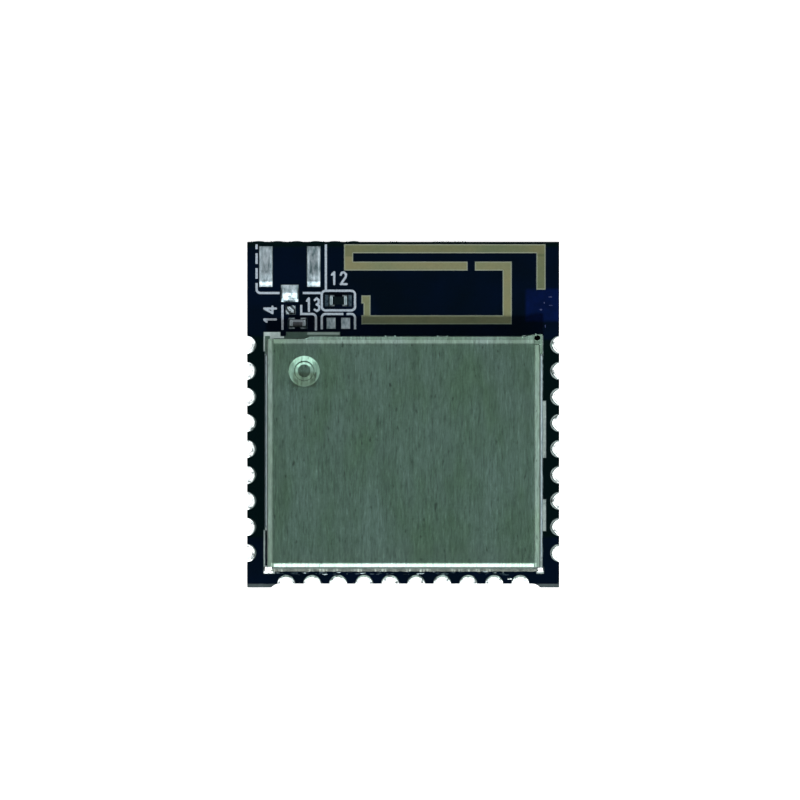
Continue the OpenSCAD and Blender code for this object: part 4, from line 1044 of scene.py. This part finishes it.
def make_torn_edge():
    """Ragged glass fibres along the back edge, where the board left its panel."""
    low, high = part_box("board_laminate")
    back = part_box("solder_mask_top")[1].y
    chance = random.Random(5)
    mesh_code = bmesh.new()
    for start, end in TORN:
        x = low.x + start * MM
        while x < low.x + end * MM:
            width = chance.uniform(*FIBRE_W)
            reach = chance.uniform(*FIBRE_REACH) * (high.y - back)
            z = chance.uniform(*FIBRE_Z)
            section = ((0, 0), (width, 0), (width, FIBRE_H), (0, FIBRE_H))
            root = [Vector((x + across, back - FIBRE_ROOT, z + up)) for across, up in section]
            tip = Vector((x + width / 2, back + reach, z + FIBRE_TIP_UP))
            loft(mesh_code, [root, [tip + (point - root[0]) * FIBRE_TIP for point in root]])
            x += width * FIBRE_SPACING
    add_piece("torn_glass", "laminate", mesh_code)


def make_specks():
    """Dust on the shield, faint marks on the mask and a stray bit of solder."""
    can_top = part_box("shield_can")[1].z
    mesh_code = bmesh.new()
    for number, (x, y, size) in enumerate(DUST):
        place = Vector((x * MM, y * MM, can_top - DUST_SUNK))
        lump(mesh_code, place, (size * MM, size * DUST_SLIM * MM, DUST_H), float(number))
    add_piece("dust", "print", mesh_code, paint="dust")
    mesh_code = bmesh.new()
    for number, (x, y, length, width) in enumerate(FAINT_MARKS):
        lump(mesh_code, Vector((x * MM, y * MM, MASK_Z)), (length * MM, width * MM, MARK_H), float(number))
    add_piece("faint_marks", "print", mesh_code, paint="faint")
    mesh_code = bmesh.new()
    x, y, length, width = STRAY_SOLDER
    lump(mesh_code, Vector((x * MM, y * MM, MASK_Z - LAP)), (length * MM, width * MM, STRAY_H), 2.0)
    add_piece("stray_solder", "solder", mesh_code, paint="bright")


def make_wall_foot_shade():
    """Painted shade: a dark strip in the mask's paint over the bare land, close along the front part of the
    left wall.
    """
    can_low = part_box("shield_can")[0]
    rings = []
    for y in steps(can_low.y + WALL_SHADE_FROM, can_low.y + WALL_SHADE_TO, WALL_SHADE_PITCH):
        left = can_low.x - WALL_SHADE_W + WALL_SHADE_WAVE * rough_at(y, 0, 0.4 * MM)
        right = can_low.x + LAP
        section = ((left, -LAP), (right, -LAP), (right, WALL_SHADE_THICK), (left, WALL_SHADE_THIN))
        rings.append([Vector((x, y, LAND_Z + up)) for x, up in section])
    mesh_code = bmesh.new()
    loft(mesh_code, rings)
    add_piece("wall_foot_shade", "mask", mesh_code)


# ---- Stage, light and camera ----

def make_floor():
    """Pale floor that stays white to the camera and keeps the object's shadow."""
    mesh = bpy.data.meshes.new("floor")
    half = FLOOR_W / 2
    corners = [(-half, -half, 0), (half, -half, 0), (half, half, 0), (-half, half, 0)]
    mesh.from_pydata(corners, [], [(0, 1, 2, 3)])
    floor = bpy.data.objects.new("floor", mesh)
    bpy.context.scene.collection.objects.link(floor)
    material = bpy.data.materials.new("floor_paint")
    material.use_nodes = True
    nodes, links = material.node_tree.nodes, material.node_tree.links
    shader = nodes["Principled BSDF"]
    shader.inputs["Base Color"].default_value = (0.86, 0.86, 0.86, 1)
    shader.inputs["Roughness"].default_value = 0.9
    shader.inputs["Specular IOR Level"].default_value = 0.1
    shader.inputs["Emission Color"].default_value = (1, 1, 1, 1)
    path = nodes.new("ShaderNodeLightPath")
    seen = nodes.new("ShaderNodeMath")
    seen.operation = "MULTIPLY"
    seen.inputs[1].default_value = FLOOR_GLOW
    links.new(path.outputs["Is Camera Ray"], seen.inputs[0])
    links.new(seen.outputs[0], shader.inputs["Emission Strength"])
    floor.data.materials.append(material)


def make_world():
    """Even surroundings: white to the eye, dimmer as a light and in reflections."""
    world = bpy.data.worlds.new("surroundings")
    bpy.context.scene.world = world
    world.use_nodes = True
    nodes, links = world.node_tree.nodes, world.node_tree.links
    back = nodes["Background"]
    back.inputs["Color"].default_value = (1, 1, 1, 1)
    path = nodes.new("ShaderNodeLightPath")
    shine = nodes.new("ShaderNodeMapRange")
    shine.inputs["To Min"].default_value = WORLD_LIGHT
    shine.inputs["To Max"].default_value = WORLD_SHINE
    links.new(path.outputs["Is Glossy Ray"], shine.inputs["Value"])
    strength = nodes.new("ShaderNodeMapRange")
    strength.inputs["To Max"].default_value = 1.0
    links.new(shine.outputs[0], strength.inputs["To Min"])
    links.new(path.outputs["Is Camera Ray"], strength.inputs["Value"])
    links.new(strength.outputs[0], back.inputs["Strength"])


def softbox(name, azimuth, elevation, width, height, radiance, colour, reflected):
    """Rectangular lamp facing the object, at an azimuth of 0 in front and 90 degrees on the right."""
    lamp = bpy.data.lights.new(name, "AREA")
    lamp.shape = "RECTANGLE"
    lamp.size = width
    lamp.size_y = height
    lamp.energy = radiance * math.pi * width * height
    lamp.color = colour
    piece = bpy.data.objects.new(name, lamp)
    bpy.context.scene.collection.objects.link(piece)
    a, e = math.radians(azimuth), math.radians(elevation)
    way = Vector((math.sin(a) * math.cos(e), -math.cos(a) * math.cos(e), math.sin(e)))
    piece.location = way * LAMP_DISTANCE
    piece.rotation_mode = "QUATERNION"
    piece.rotation_quaternion = way.to_track_quat("Z", "Y")
    piece.visible_camera = False
    piece.visible_diffuse = not reflected
    piece.visible_glossy = reflected


def make_lights():
    """A key lamp for light and shade, and wide panels that are seen only as reflections."""
    softbox("key", 0, 60, 0.02, 0.02, 640.0, (1.0, 1.0, 0.98), False)
    softbox("front_panel", 0, 33, 0.5, 0.34, 9.0, (1.0, 0.97, 0.98), True)
    softbox("left_panel", 270, 42, 0.4, 0.42, 3.2, (1.0, 0.97, 0.98), True)
    softbox("right_panel", 90, 42, 0.4, 0.42, 4.3, (1.0, 0.99, 0.99), True)
    softbox("back_panel", 180, 42, 0.4, 0.42, 3.6, (1.0, 0.98, 0.99), True)


def make_camera():
    """Long lens straight above the board."""
    data = bpy.data.cameras.new("camera")
    data.lens = LENS
    data.sensor_width = SENSOR
    height = FRAME_W * LENS / SENSOR
    data.clip_start = height * 0.2
    data.clip_end = height * 3
    camera = bpy.data.objects.new("camera", data)
    bpy.context.scene.collection.objects.link(camera)
    camera.location = (CAMERA_X, CAMERA_Y, height + TOP_Z)
    bpy.context.scene.camera = camera


# ---- Making ----

make_camera()
make_floor()
make_world()
make_lights()
paint_cad_nodes()
make_shield()
make_side_runs()
make_front_foot()
make_crumbs()
make_back_solder()
make_corner_pit_shade()
make_corner_solder()
make_beads()
make_land_tin()
make_chip_solder()
make_chip_ends()
make_numbers()
make_torn_edge()
make_specks()
make_wall_foot_shade()
bpy.context.scene.view_settings.view_transform = "Standard"
